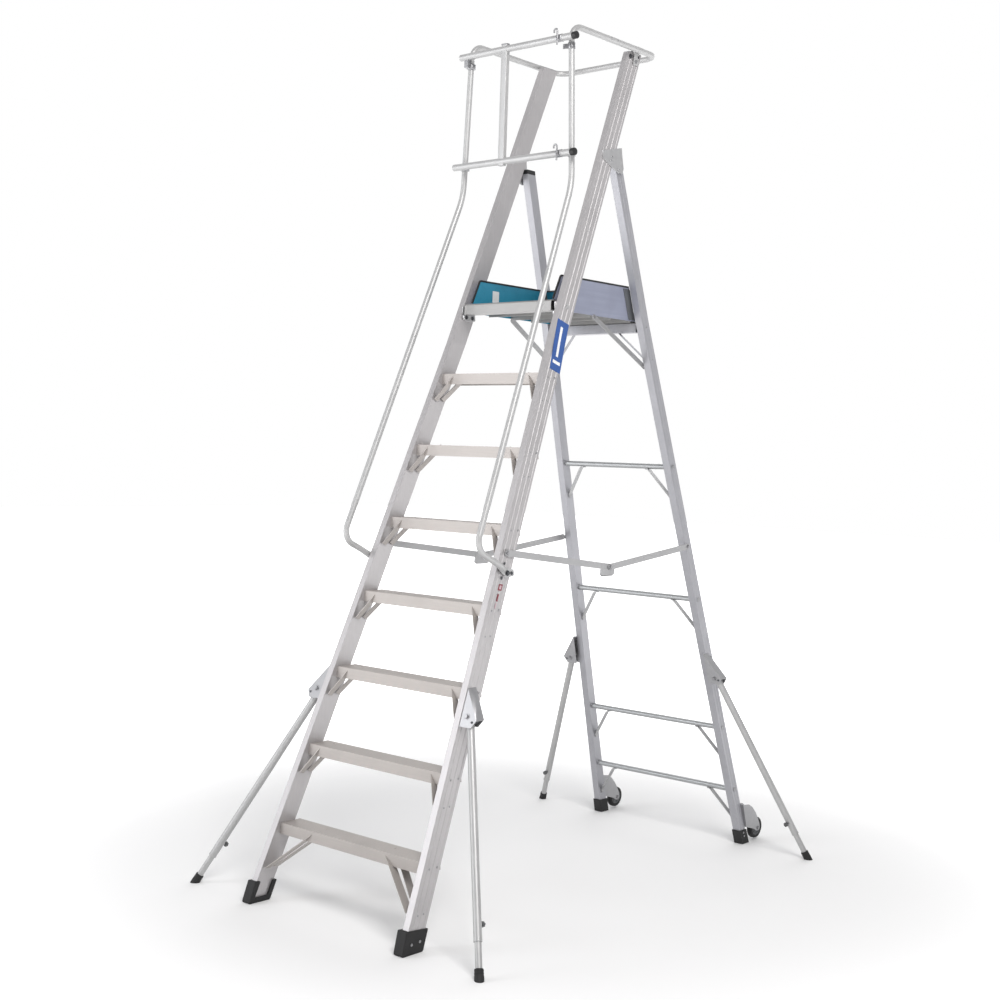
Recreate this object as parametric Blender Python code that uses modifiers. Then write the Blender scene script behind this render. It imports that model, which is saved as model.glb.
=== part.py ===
# Rolling warehouse ladder: a folding aluminium platform step-ladder on two
# rear castor wheels, with handrails, a platform gate and four outriggers.
#
# Metres, +Z up.  The climbing side faces -Y, the wheels are on the +Y side
# and "left" is the climber's left, -X.  Heights and depths below are given
# from a design datum; the root empty moves the datum so that the footprint
# is centred on the world origin.

import math

import bmesh
import bpy
from mathutils import Matrix, Vector

# ------------------------------------------------------------ dimensions
Y_CENTRE = 0.0610            # datum to the middle of the footprint
GAP = 0.0003                 # clearance between pieces that touch

# climbing frame
TREAD_RISE = 0.300
TREADS = 7
FRONT_Y0, FRONT_LEAN = -1.1448, 0.3991       # front face: y = y0 + lean * z
FRONT_X0, FRONT_TAPER = 0.4338, 0.0654       # outer face: x = x0 - taper * z
FRONT_KINK, FRONT_TAPER_TOP = 2.233, 0.0339
FRONT_W, FRONT_D, FRONT_WALL = 0.0300, 0.0883, 0.0025
FRONT_BOTTOM, FRONT_TOP = 0.0100, 3.4870

# supporting frame
REAR_Y0, REAR_LEAN = 1.0915, -0.3096
REAR_X0, REAR_TAPER = 0.4264, 0.0628
REAR_KINK, REAR_TAPER_TOP = 2.360, 0.0384
REAR_W, REAR_D, REAR_WALL = 0.0350, 0.0506, 0.0024
REAR_BOTTOM, REAR_TOP = 0.0200, 3.0050
RUNG_HEIGHTS = (0.2600, 0.5555, 1.1490, 1.7390)
RUNG_R = 0.0120

# treads
TREAD_SET_BACK, TREAD_DEPTH, TREAD_HEIGHT, TREAD_WALL = 0.0135, 0.0990, 0.0440, 0.0025

# platform
DECK_TOP, DECK_FRONT, DECK_REAR = 2.4000, -0.2050, 0.4150
DECK_HALF = 0.2185
NOSING_HALF, NOSING_REAR, NOSING_LOW, NOSING_TOP = 0.2350, -0.1520, 2.3550, 2.3988
TOE_IN, TOE_OUT, TOE_TOP = 0.2190, 0.2216, 2.5080
PLATFORM_PIVOT = (-0.1600, 2.3720)

# fold, stays and platform braces: (y, z) of each pivot
FOLD_PIVOT = (0.1900, 2.9850)
STAY_FRONT_PIVOT = (-0.5550, 1.3960)
STAY_MIDDLE = (0.0950, 1.3200)
STAY_REAR_PIVOT = (0.6600, 1.3900)
BRACE_TOP = (0.0950, 2.3560)
BRACE_FOOT = (0.4300, 2.1700)

# handrail tubes
RAIL_R = 0.0130
RAIL_Y = -0.1714
TOP_RAIL_X, TOP_RAIL_Z = 0.2670, 3.4960
BACK_RAIL_Y = 0.4230
RAIL_JOINT_Y = 0.1000

# gate
GATE_R, GATE_Y = 0.0140, -0.2010
GATE_TOP_Z, GATE_LOW_Z = 3.4400, 2.9800

# outriggers
LEG_OUT_R, LEG_IN_R, LEG_WALL = 0.0150, 0.0122, 0.0020
OUT_PIVOT_Z = 0.8000
OUT_PIVOT_E = 0.0370         # from the stile's outer face
FRONT_LEG_X0, FRONT_LEG_SLOPE = 0.7736, 0.4564
REAR_LEG_X0, REAR_LEG_SLOPE = 0.7720, 0.4495

# wheels
WHEEL_X, WHEEL_Y, WHEEL_Z, WHEEL_R, WHEEL_W = 0.4100, 1.2220, 0.0560, 0.0500, 0.0260


def front_y(z):
    return FRONT_Y0 + FRONT_LEAN * z


def front_x(z):
    if z <= FRONT_KINK:
        return FRONT_X0 - FRONT_TAPER * z
    return FRONT_X0 - FRONT_TAPER * FRONT_KINK - FRONT_TAPER_TOP * (z - FRONT_KINK)


def rear_y(z):
    return REAR_Y0 + REAR_LEAN * z


def rear_x(z):
    if z <= REAR_KINK:
        return REAR_X0 - REAR_TAPER * z
    return REAR_X0 - REAR_TAPER * REAR_KINK - REAR_TAPER_TOP * (z - REAR_KINK)


# ------------------------------------------------------------ scene
for old in list(bpy.data.objects):
    bpy.data.objects.remove(old, do_unlink=True)

scene = bpy.context.scene
parts = bpy.data.collections.new("rolling_warehouse_ladder")
cutters = bpy.data.collections.new("ladder_cutters")
scene.collection.children.link(parts)
scene.collection.children.link(cutters)


def material(name, colour, roughness, metallic):
    m = bpy.data.materials.new(name)
    m.use_nodes = True
    shader = m.node_tree.nodes["Principled BSDF"]
    shader.inputs["Base Color"].default_value = (*colour, 1.0)
    shader.inputs["Roughness"].default_value = roughness
    shader.inputs["Metallic"].default_value = metallic
    m.diffuse_color = (*colour, 1.0)
    return m


COLOURS = {
    "stile": ((0.70, 0.67, 0.68), 0.42, 0.85),
    "rear_stile": ((0.64, 0.63, 0.67), 0.42, 0.85),
    "tread": ((0.72, 0.69, 0.69), 0.45, 0.80),
    "tube": ((0.78, 0.77, 0.78), 0.30, 0.95),
    "deck": ((0.62, 0.61, 0.63), 0.50, 0.80),
    "toe": ((0.16, 0.42, 0.50), 0.50, 0.10),
    "bracket": ((0.50, 0.50, 0.52), 0.45, 0.80),
    "steel": ((0.58, 0.58, 0.60), 0.35, 0.90),
    "rubber": ((0.03, 0.03, 0.03), 0.75, 0.00),
    "plastic": ((0.05, 0.05, 0.05), 0.50, 0.00),
}


def empty(name, at=(0.0, 0.0, 0.0), parent=None):
    e = bpy.data.objects.new(name, None)
    e.empty_display_size = 0.05
    parts.objects.link(e)
    e.parent = parent
    origin = Vector(at)
    if parent is not None:
        origin = origin - Vector(parent["datum"])
    e["datum"] = tuple(at)
    e.location = origin
    return e


root = empty("ladder_root")
root.location = (0.0, -Y_CENTRE, 0.0)


def add(name, mesh, finish, parent=root, smooth=False):
    """One named part, drawn in datum coordinates under its joint's empty."""
    o = bpy.data.objects.new(name, mesh)
    parts.objects.link(o)
    o.parent = parent
    o.location = -Vector(parent["datum"])
    mesh.materials.clear()
    mesh.materials.append(material(name, *COLOURS[finish]))
    return o


def helper(name, mesh, parent=root):
    o = bpy.data.objects.new(name, mesh)
    cutters.objects.link(o)
    o.parent = parent
    o.location = -Vector(parent["datum"])
    o.hide_render = True
    o.display_type = "WIRE"
    return o


def boolean(target, mesh, operation):
    tool = helper(target.name + "_" + operation.lower() + str(len(target.modifiers)), mesh)
    tool.parent = target.parent
    tool.location = target.location
    m = target.modifiers.new(operation.title(), "BOOLEAN")
    m.operation = operation
    m.solver = "EXACT"
    m.object = tool
    return m


def solidify(o, thickness):
    m = o.modifiers.new("Wall", "SOLIDIFY")
    m.thickness = thickness
    m.offset = -1.0
    m.use_even_offset = True
    m.use_rim = True


# ------------------------------------------------------------ shape helpers
def to_mesh(bm, name):
    bmesh.ops.recalc_face_normals(bm, faces=bm.faces[:])
    if bm.calc_volume(signed=True) < 0:
        bmesh.ops.reverse_faces(bm, faces=bm.faces[:])
    mesh = bpy.data.meshes.new(name)
    bm.to_mesh(mesh)
    bm.free()
    return mesh


def outline(loops, thickness):
    """A plate from flat outlines (holes after the first), centred on z = 0."""
    curve = bpy.data.curves.new("outline", "CURVE")
    curve.dimensions = "2D"
    curve.fill_mode = "BOTH"
    curve.extrude = thickness / 2
    for loop in loops:
        spline = curve.splines.new("POLY")
        spline.points.add(len(loop) - 1)
        for point, (x, y) in zip(spline.points, loop):
            point.co = (x, y, 0.0, 1.0)
        spline.use_cyclic_u = True
    holder = bpy.data.objects.new("outline", curve)
    mesh = bpy.data.meshes.new_from_object(holder)
    bm = bmesh.new()
    bm.from_mesh(mesh)
    bmesh.ops.remove_doubles(bm, verts=bm.verts[:], dist=1e-6)
    bpy.data.objects.remove(holder)
    bpy.data.meshes.remove(mesh)
    bpy.data.curves.remove(curve)
    return bm


def warp(bm, move):
    for v in bm.verts:
        v.co = Vector(move(*v.co))
    return bm


def along_x(loops, x0, x1, name):
    """Outline in (y, z), run from x0 to x1."""
    bm = outline(loops, abs(x1 - x0))
    mid = (x0 + x1) / 2
    return to_mesh(warp(bm, lambda x, y, z: (z + mid, x, y)), name)


def upright(loops, z0, kinks, z1, place, name):
    """Section in (x, y) drawn up from z0 to z1, then placed by place(x, y, z)."""
    bm = outline(loops, z1 - z0)
    warp(bm, lambda x, y, z: (x, y, z + (z0 + z1) / 2))
    for k in kinks:
        bmesh.ops.bisect_plane(bm, geom=bm.verts[:] + bm.edges[:] + bm.faces[:],
                               plane_co=(0, 0, k), plane_no=(0, 0, 1), dist=1e-7)
    return to_mesh(warp(bm, place), name)


def hexa(corner, name):
    """A cube whose corners are moved to corner(i, j, k), each 0 or 1."""
    bm = bmesh.new()
    bmesh.ops.create_cube(bm, size=1.0)
    for v in bm.verts:
        v.co = Vector(corner(int(v.co.x > 0), int(v.co.y > 0), int(v.co.z > 0)))
    return to_mesh(bm, name)


def box(lo, hi, name="box"):
    return hexa(lambda i, j, k: ((lo[0], hi[0])[i], (lo[1], hi[1])[j], (lo[2], hi[2])[k]), name)


def bar(a, b, across, width, thick, name="strap"):
    """Flat bar from a to b; width is measured along `across`."""
    a, b = Vector(a), Vector(b)
    run = (b - a).normalized()
    w = Vector(across)
    w = (w - run * w.dot(run)).normalized()
    t = run.cross(w)
    ends = (a, b)
    return hexa(lambda i, j, k: ends[i] + w * (j - 0.5) * width + t * (k - 0.5) * thick, name)


def rod(a, b, r, sides=12, name="rod"):
    a, b = Vector(a), Vector(b)
    bm = bmesh.new()
    bmesh.ops.create_cone(bm, cap_ends=True, cap_tris=False, segments=sides,
                          radius1=r, radius2=r, depth=(b - a).length)
    turn = Vector((0, 0, 1)).rotation_difference(b - a).to_matrix().to_4x4()
    bm.transform(Matrix.Translation((a + b) / 2) @ turn)
    return to_mesh(bm, name)


def bends(points, radii, steps=4):
    """Straight runs joined by arcs: points and the bend radius at each."""
    pts = [Vector(p) for p in points]
    out = [pts[0]]
    for i in range(1, len(pts) - 1):
        p, r = pts[i], radii[i]
        u = (pts[i - 1] - p).normalized()
        v = (pts[i + 1] - p).normalized()
        angle = math.acos(max(-1.0, min(1.0, u.dot(v))))
        if r <= 0 or abs(math.pi - angle) < 0.02:
            out.append(p)
            continue
        reach = r / math.tan(angle / 2)
        reach = min(reach, 0.49 * (pts[i - 1] - p).length if i > 1 else reach,
                    0.49 * (pts[i + 1] - p).length if i < len(pts) - 2 else reach)
        r = reach * math.tan(angle / 2)
        centre = p + (u + v).normalized() * (r / math.sin(angle / 2))
        start, end = p + u * reach, p + v * reach
        a, b = start - centre, end - centre
        sweep = a.angle(b)
        for s in range(steps + 1):
            f = s / steps
            out.append(centre + (a * math.sin((1 - f) * sweep) + b * math.sin(f * sweep)) / math.sin(sweep))
    out.append(pts[-1])
    return out


def pipe(points, r, caps, sides=8, name="pipe"):
    """A tube's outer skin: a poly curve with a round bevel, made into a mesh."""
    curve = bpy.data.curves.new(name, "CURVE")
    curve.dimensions = "3D"
    curve.bevel_depth = r
    curve.bevel_resolution = (sides - 4) // 2
    curve.use_fill_caps = caps
    curve.twist_mode = "MINIMUM"
    spline = curve.splines.new("POLY")
    spline.points.add(len(points) - 1)
    for point, p in zip(spline.points, points):
        point.co = (*p, 1.0)
    holder = bpy.data.objects.new(name, curve)
    mesh = bpy.data.meshes.new_from_object(holder)
    bm = bmesh.new()
    bm.from_mesh(mesh)
    bmesh.ops.remove_doubles(bm, verts=bm.verts[:], dist=1e-6)
    bpy.data.objects.remove(holder)
    bpy.data.meshes.remove(mesh)
    bpy.data.curves.remove(curve)
    return to_mesh(bm, name)


def slot_shape(a, b, r, steps=5):
    """Outline of a link with round ends, from a to b in the plane."""
    a, b = Vector(a), Vector(b)
    base = math.atan2(b.y - a.y, b.x - a.x)
    loop = []
    for centre, start in ((b, base - math.pi / 2), (a, base + math.pi / 2)):
        for s in range(steps + 1):
            t = start + math.pi * s / steps
            loop.append((centre.x + r * math.cos(t), centre.y + r * math.sin(t)))
    return loop


def circle(cx, cy, r, n):
    return [(cx + r * math.cos(2 * math.pi * i / n), cy + r * math.sin(2 * math.pi * i / n)) for i in range(n)]


def mirror_x(mesh, name):
    bm = bmesh.new()
    bm.from_mesh(mesh)
    warp(bm, lambda x, y, z: (-x, y, z))
    return to_mesh(bm, name)


SIDES = (("left", -1.0), ("right", 1.0))

# ------------------------------------------------------------ joint empties
rear_frame = empty("rear_fold_axis", (0.0, *FOLD_PIVOT), root)
platform = empty("platform_axis", (0.0, *PLATFORM_PIVOT), root)


# ------------------------------------------------------------ stiles
def grooved(width, depth, grooves, deep, half):
    """Rectangle with shallow grooves down the face at x = 0."""
    loop = [(0.0, 0.0), (width, 0.0), (width, depth), (0.0, depth)]
    for g in sorted(grooves, reverse=True):
        loop += [(0.0, g + half), (deep, g + half * 0.6), (deep, g - half * 0.6), (0.0, g - half)]
    return loop


def inner(width, depth, wall):
    return [(wall, wall), (width - wall, wall), (width - wall, depth - wall), (wall, depth - wall)]


for side, s in SIDES:
    mesh = upright([grooved(FRONT_W, FRONT_D, (0.0170, 0.0442, 0.0714), 0.0014, 0.0055),
                    inner(FRONT_W, FRONT_D, FRONT_WALL + 0.0006)],
                   FRONT_BOTTOM, (FRONT_KINK,), FRONT_TOP,
                   lambda x, y, z: (s * (front_x(z) - x), front_y(z) + y, z), "stile_front")
    add("stile_front_" + side, mesh, "stile")
    mesh = upright([grooved(REAR_W, REAR_D, (0.0160, 0.0346), 0.0012, 0.0045),
                    inner(REAR_W, REAR_D, REAR_WALL + 0.0004)],
                   REAR_BOTTOM, (REAR_KINK,), REAR_TOP,
                   lambda x, y, z: (s * (rear_x(z) - x), rear_y(z) + y, z), "stile_rear")
    add("stile_rear_" + side, mesh, "rear_stile", rear_frame)


def front_block(s, x0, x1, y0, y1, z0, z1, name="block"):
    """Block measured from the front stile's outer and front faces."""
    return hexa(lambda i, j, k: (s * (front_x((z0, z1)[k]) - (x0, x1)[i]),
                                 front_y((z0, z1)[k]) + (y0, y1)[j], (z0, z1)[k]), name)


def rear_block(s, x0, x1, y0, y1, z0, z1, name="block"):
    return hexa(lambda i, j, k: (s * (rear_x((z0, z1)[k]) - (x0, x1)[i]),
                                 rear_y((z0, z1)[k]) + (y0, y1)[j], (z0, z1)[k]), name)


# ------------------------------------------------------------ shoes and caps
FRONT_SHOE = [(-1.1460, 0.0), (-1.0480, 0.0), (-1.0440, 0.0050), (-1.0170, 0.0760), (-1.1270, 0.0850),
              (-1.1500, 0.0090), (-1.1495, 0.0040)]
for side, s in SIDES:
    mesh = along_x([FRONT_SHOE], 0.3945, 0.4400, "shoe_front")
    bm = bmesh.new()
    bm.from_mesh(mesh)
    warp(bm, lambda x, y, z: (s * (x - FRONT_TAPER * z), y, z))
    shoe = add("shoe_front_" + side, to_mesh(bm, "shoe_front"), "rubber")
    boolean(shoe, front_block(s, -GAP, FRONT_W + GAP, -GAP, FRONT_D + GAP, FRONT_BOTTOM - GAP, 0.20), "DIFFERENCE")
    boolean(shoe, front_block(s, FRONT_W - 0.004, FRONT_W + 0.04, 0.012, 0.078, 0.020, 0.20), "DIFFERENCE")

    foot = add("shoe_rear_" + side, rear_block(s, -0.0045, REAR_W + 0.0045, -0.0045, REAR_D + 0.0045, 0.0, 0.0650, "shoe_rear"),
               "rubber", rear_frame)
    boolean(foot, rear_block(s, -GAP, REAR_W + GAP, -GAP, REAR_D + GAP, REAR_BOTTOM - GAP, 0.10), "DIFFERENCE")

    cap = add("cap_rear_" + side, rear_block(s, -0.0008, REAR_W + 0.0008, -0.0008, REAR_D + 0.0008,
                                             REAR_TOP + GAP, REAR_TOP + 0.0180, "cap_rear"), "plastic", rear_frame)
    w = REAR_WALL + 0.0004 + GAP
    boolean(cap, rear_block(s, w, REAR_W - w, w, REAR_D - w, REAR_TOP - 0.0150, REAR_TOP + 0.0100), "UNION")


# ------------------------------------------------------------ treads
def tread_profile(y0, top):
    """Inverted channel with a ribbed top, in (y, z)."""
    y1, low, t = y0 + TREAD_DEPTH, top - TREAD_HEIGHT, TREAD_WALL
    loop = [(y0, low), (y0 + t, low), (y0 + t, top - t - 0.0010), (y1 - t, top - t - 0.0010), (y1 - t, low), (y1, low), (y1, top)]
    pitch = TREAD_DEPTH / 8
    for i in range(7, 0, -1):
        g = y0 + i * pitch
        loop += [(g + 0.0030, top), (g + 0.0020, top - 0.0010), (g - 0.0020, top - 0.0010), (g - 0.0030, top)]
    loop.append((y0, top))
    return loop


for k in range(1, TREADS + 1):
    top = TREAD_RISE * k
    y0 = front_y(top) + TREAD_SET_BACK
    bm = outline([tread_profile(y0, top)], 2.0)
    warp(bm, lambda x, y, z: (z, x, y))
    warp(bm, lambda x, y, z: (math.copysign(front_x(z) - FRONT_W - GAP, x), y, z))
    tread = add("tread_%d" % k, to_mesh(bm, "tread"), "tread")
    for s in (-1.0, 1.0):
        if k == 1:
            a_z, b_z, reach, wide = top - 0.0025, 0.1300, 0.1950, 0.0330
        else:
            a_z, b_z, reach, wide = top - 0.0025, top - 0.1120, 0.0660, 0.0270
        a_x = front_x(a_z) - FRONT_W - reach
        b_x = front_x(b_z) - FRONT_W - (0.0078 if k == 1 else 0.0062)
        margin = TREAD_WALL + 0.0020 + wide / 2
        for y_top, y_low in ((y0 + margin, front_y(b_z) + 0.0230),
                             (y0 + TREAD_DEPTH - margin, front_y(b_z) + 0.0650)):
            boolean(tread, bar((s * a_x, y_top, a_z), (s * b_x, y_low, b_z), (0, 1, 0), wide, 0.0028), "UNION")

# ------------------------------------------------------------ rungs
for n, z in enumerate(RUNG_HEIGHTS, 1):
    y = rear_y(z) + REAR_D / 2
    half = rear_x(z) - REAR_W - 0.0008
    rung = add("rung_%d" % n, pipe([(-half, y, z), (0.0, y, z), (half, y, z)], RUNG_R, False, 12, "rung"), "tube", rear_frame)
    solidify(rung, 0.0020)
    for s in (-1.0, 1.0):
        low = z - 0.1450
        a = (s * (half - 0.0950), y, z - 0.0105)
        b = (s * (rear_x(low) - REAR_W - 0.0030), rear_y(low) + REAR_D / 2, low)
        boolean(rung, bar(a, b, (0, 1, 0), 0.0200, 0.0030), "UNION")

# ------------------------------------------------------------ platform rail
rail_z0, rail_z1 = 2.3150, 2.3547
rail_loop = [(0.3850, rail_z0), (0.4300, rail_z0), (0.4300, rail_z1), (0.3850, rail_z1)]
rail_hole = [(0.3878, rail_z0 + 0.0028), (0.4272, rail_z0 + 0.0028), (0.4272, rail_z1 - 0.0028), (0.3878, rail_z1 - 0.0028)]
bm = outline([rail_loop, rail_hole], 2.0)
warp(bm, lambda x, y, z: (z, x, y))
warp(bm, lambda x, y, z: (math.copysign(rear_x(z) - REAR_W - GAP, x), y, z))
rail = add("platform_rail", to_mesh(bm, "platform_rail"), "rear_stile", rear_frame)
for s in (-1.0, 1.0):
    boolean(rail, bar((s * 0.1240, 0.4080, rail_z0 + 0.0015), (s * (rear_x(2.195) - REAR_W - 0.0030), 0.4460, 2.1950),
                      (0, 1, 0), 0.0160, 0.0030), "UNION")
    boolean(rail, box((min(s * 0.2300, s * 0.2600), 0.3700, rail_z0 - 0.01), (max(s * 0.2300, s * 0.2600), 0.4030, rail_z1 + 0.01)), "DIFFERENCE")

# ------------------------------------------------------------ deck
PLANKS = (-0.1480, -0.0650, 0.0800, 0.2150, 0.3560, DECK_REAR)


def deck_profiles():
    """Nosing box and ribbed skin as one section in (y, z), with its hollow."""
    top, skin, rib, leg = DECK_TOP, 0.0030, 0.0090, 0.0447
    step = NOSING_REAR + 0.0004
    y1 = DECK_REAR
    loop = [(DECK_FRONT, NOSING_LOW), (DECK_FRONT, NOSING_TOP - 0.006), (DECK_FRONT + 0.006, NOSING_TOP), (NOSING_REAR, NOSING_TOP), (step, top)]
    pitch, half = 0.0200, 0.0022
    count = int((y1 - step - 0.012) / pitch)
    for i in range(count):
        c = step + 0.014 + i * pitch
        loop += [(c - half, top), (c - half, top - 0.0010), (c + half, top - 0.0010), (c + half, top)]
    loop += [(y1, top), (y1, top - leg), (y1 - 0.0028, top - leg), (y1 - 0.0028, top - skin)]
    stops = []
    for p in PLANKS[1:-1]:
        stops.append((p, 0.0052, leg))
    for a, b in zip(PLANKS, PLANKS[1:]):
        for f in (0.2, 0.4, 0.6, 0.8):
            stops.append((a + (b - a) * f, 0.0026, rib))

    def under(y):
        """The skin is a little thicker in the middle."""
        return top - skin - 0.0006 * math.sin(math.pi * (y - step) / (y1 - step))

    for c, w, d in sorted(stops, reverse=True):
        loop += [(c + w / 2, under(c + w / 2)), (c + w / 2, top - d), (c - w / 2, top - d), (c - w / 2, under(c - w / 2))]
    loop += [(step, top - skin), (NOSING_REAR, top - skin - 0.0010), (NOSING_REAR, NOSING_LOW)]
    hollow = [(DECK_FRONT + 0.003, NOSING_LOW + 0.003), (NOSING_REAR - 0.003, NOSING_LOW + 0.003),
              (NOSING_REAR - 0.003, NOSING_TOP - 0.003), (DECK_FRONT + 0.007, NOSING_TOP - 0.003), (DECK_FRONT + 0.003, NOSING_TOP - 0.007)]
    return loop, hollow


bm = outline(deck_profiles(), 2.0)
for cut_at in (NOSING_REAR, NOSING_REAR + 0.0004):
    bmesh.ops.bisect_plane(bm, geom=bm.verts[:] + bm.edges[:] + bm.faces[:],
                           plane_co=(cut_at, 0, 0), plane_no=(1, 0, 0), dist=1e-7)
warp(bm, lambda x, y, z: (z, x, y))
warp(bm, lambda x, y, z: (math.copysign(NOSING_HALF if y < NOSING_REAR + 0.0002 else DECK_HALF, x), y, z))
deck = add("deck", to_mesh(bm, "deck"), "deck", platform)
for s in (-1.0, 1.0):
    py, pz = PLATFORM_PIVOT
    stub = front_x(pz) - FRONT_W - 0.0008
    boolean(deck, rod((s * (NOSING_HALF - 0.0015), py, pz), (s * stub, py, pz), 0.0085, 12), "UNION")

# ------------------------------------------------------------ toe boards
TOE_SIDE = [(-0.1760, 2.4020), (-0.1480, 2.4020), (-0.1480, 2.3600), (0.3890, 2.3600), (0.3360, TOE_TOP), (-0.1300, TOE_TOP)]
for side, s in SIDES:
    add("toe_board_" + side, along_x([TOE_SIDE], s * TOE_IN, s * TOE_OUT, "toe_board"), "toe", platform)
lean = (0.3890 - 0.3360) / (TOE_TOP - 2.3600)
toe_rear = hexa(lambda i, j, k: ((-TOE_IN + 0.0004, TOE_IN - 0.0004)[i],
                                 0.3300 + (0.0, 0.0026)[j] - lean * ((0.0003, TOE_TOP - DECK_TOP)[k] - 0.05),
                                 (DECK_TOP + 0.0003, TOE_TOP)[k]), "toe_board_rear")
add("toe_board_rear", toe_rear, "toe", platform)

# ------------------------------------------------------------ platform braces
BRACE_X_TOP, BRACE_X_FOOT = 0.2246, 0.2480
for side, s in SIDES:
    pivot = empty("brace_axis_" + side, (s * BRACE_X_FOOT, *BRACE_FOOT), rear_frame)
    brace = bmesh.new()
    mesh = along_x([slot_shape(BRACE_TOP, BRACE_FOOT, 0.0110)], -0.0015, 0.0015, "platform_brace")
    brace.from_mesh(mesh)
    rise = (BRACE_X_FOOT - BRACE_X_TOP) / (BRACE_FOOT[1] - BRACE_TOP[1])
    warp(brace, lambda x, y, z: (s * (BRACE_X_FOOT + rise * (z - BRACE_FOOT[1]) + x), y, z))
    o = add("platform_brace_" + side, to_mesh(brace, "platform_brace"), "tube", pivot)
    end = rear_x(BRACE_FOOT[1]) - REAR_W - 0.0008
    boolean(o, rod((s * (BRACE_X_FOOT + 0.0008), *BRACE_FOOT), (s * end, *BRACE_FOOT), 0.0080, 10), "UNION")

# ------------------------------------------------------------ stays
STAY_HALF = 0.0130
for side, s in SIDES:
    pivot = empty("stay_front_axis_" + side, (s * 0.3480, *STAY_FRONT_PIVOT), root)
    link = add("stay_front_" + side,
               along_x([slot_shape(STAY_FRONT_PIVOT, STAY_MIDDLE, STAY_HALF)], s * 0.3460, s * 0.3504, "stay_front"), "tube", pivot)
    my, mz = STAY_MIDDLE
    clip = [(my - 0.055, mz - 0.034), (my + 0.028, mz - 0.034), (my + 0.034, mz - 0.028), (my + 0.034, mz + 0.010),
            (my - 0.055, mz + 0.012), (my - 0.060, mz - 0.026)]
    boolean(link, along_x([clip], s * 0.3450, s * 0.3508, "clip"), "UNION")
    boolean(link, rod((s * (front_x(STAY_FRONT_PIVOT[1]) + 0.0012), *STAY_FRONT_PIVOT), (s * 0.3482, *STAY_FRONT_PIVOT), 0.0085, 10), "UNION")
    pivot = empty("stay_rear_axis_" + side, (s * 0.3540, *STAY_REAR_PIVOT), rear_frame)
    link = add("stay_rear_" + side,
               along_x([slot_shape(STAY_MIDDLE, STAY_REAR_PIVOT, STAY_HALF)], s * 0.3516, s * 0.3560, "stay_rear"), "tube", pivot)
    boolean(link, rod((s * (rear_x(STAY_REAR_PIVOT[1]) + 0.0012), *STAY_REAR_PIVOT), (s * 0.3538, *STAY_REAR_PIVOT), 0.0085, 10), "UNION")

# ------------------------------------------------------------ top hinge plates
HINGE_PLATE = [(0.0680, 3.0070), (0.1320, 2.9760), (0.1740, 2.9610), (0.2020, 2.9640), (0.2110, 2.9850), (0.2070, 3.0010),
               (0.1960, 3.0700), (0.0660, 3.0390)]
for side, s in SIDES:
    bm = bmesh.new()
    mesh = along_x([HINGE_PLATE], 0.0, 0.0030, "hinge_plate")
    bm.from_mesh(mesh)
    warp(bm, lambda x, y, z: (s * (front_x(z) + GAP + x), y, z))
    plate = add("hinge_plate_" + side, to_mesh(bm, "hinge_plate"), "steel")
    inner_end = rear_x(FOLD_PIVOT[1]) + 0.0010
    boolean(plate, rod((s * inner_end, *FOLD_PIVOT), (s * (front_x(FOLD_PIVOT[1]) + 0.0015), *FOLD_PIVOT), 0.0080, 12), "UNION")


# ------------------------------------------------------------ handrails
def tube_x(z):
    return 0.3338 - 0.046 * (z - 2.0)


def slope_y(z):
    return -0.5133 + 0.398 * (z - 2.0)


for side, s in SIDES:
    pts = [(-0.5600, 1.3220), (-0.6370, 1.3640), (-0.7480, 1.4130), (slope_y(2.8530), 2.8530), (RAIL_Y, 2.8600 + 0.010), (RAIL_Y, TOP_RAIL_Z), (RAIL_JOINT_Y, TOP_RAIL_Z)]
    path = [(tube_x(z), y, z) for y, z in pts[:-2]]
    path += [(TOP_RAIL_X, RAIL_Y, TOP_RAIL_Z), (TOP_RAIL_X, RAIL_JOINT_Y, TOP_RAIL_Z)]
    path = [path[0], path[1], path[2], (tube_x(2.8600), slope_y(2.8600), 2.8600), path[5], path[6]]
    radii = [0, 0.0, 0.060, 0.300, 0.060, 0]
    line = bends([Vector(p) for p in path], radii, 5)
    line = [Vector((s * p.x, p.y, p.z)) for p in line]
    tube = add("handrail_" + side, pipe(line, RAIL_R, False, 8, "handrail"), "tube")
    solidify(tube, 0.0018)
    z = 1.3250
    boolean(tube, box((min(s * (front_x(1.310) + GAP + 0.0003), s * 0.3560), -0.5820, 1.3120),
                      (max(s * (front_x(1.310) + GAP + 0.0003), s * 0.3560), -0.5600, 1.3420)), "UNION")

# back rail: a U that joins the two handrails round behind the stiles
path = [(-TOP_RAIL_X, RAIL_JOINT_Y + 0.0004, TOP_RAIL_Z), (-TOP_RAIL_X, BACK_RAIL_Y, TOP_RAIL_Z),
        (TOP_RAIL_X, BACK_RAIL_Y, TOP_RAIL_Z), (TOP_RAIL_X, RAIL_JOINT_Y + 0.0004, TOP_RAIL_Z)]
guard = add("guardrail_rear", pipe(bends(path, [0, 0.060, 0.060, 0], 5), RAIL_R, False, 8, "guardrail"), "tube")
solidify(guard, 0.0018)
for s in (-1.0, 1.0):
    x0, x1 = front_x(3.455) + GAP + 0.0003, TOP_RAIL_X - 0.0080
    boolean(guard, box((min(s * x0, s * x1), 0.2700, 3.4550), (max(s * x0, s * x1), 0.3100, 3.4930)), "UNION")

# ------------------------------------------------------------ gate
def post_x(z):
    """The upright part of a handrail, between its two bends."""
    return tube_x(2.8600) + (z - 2.8600) * (TOP_RAIL_X - tube_x(2.8600)) / (TOP_RAIL_Z - 2.8600)


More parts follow.
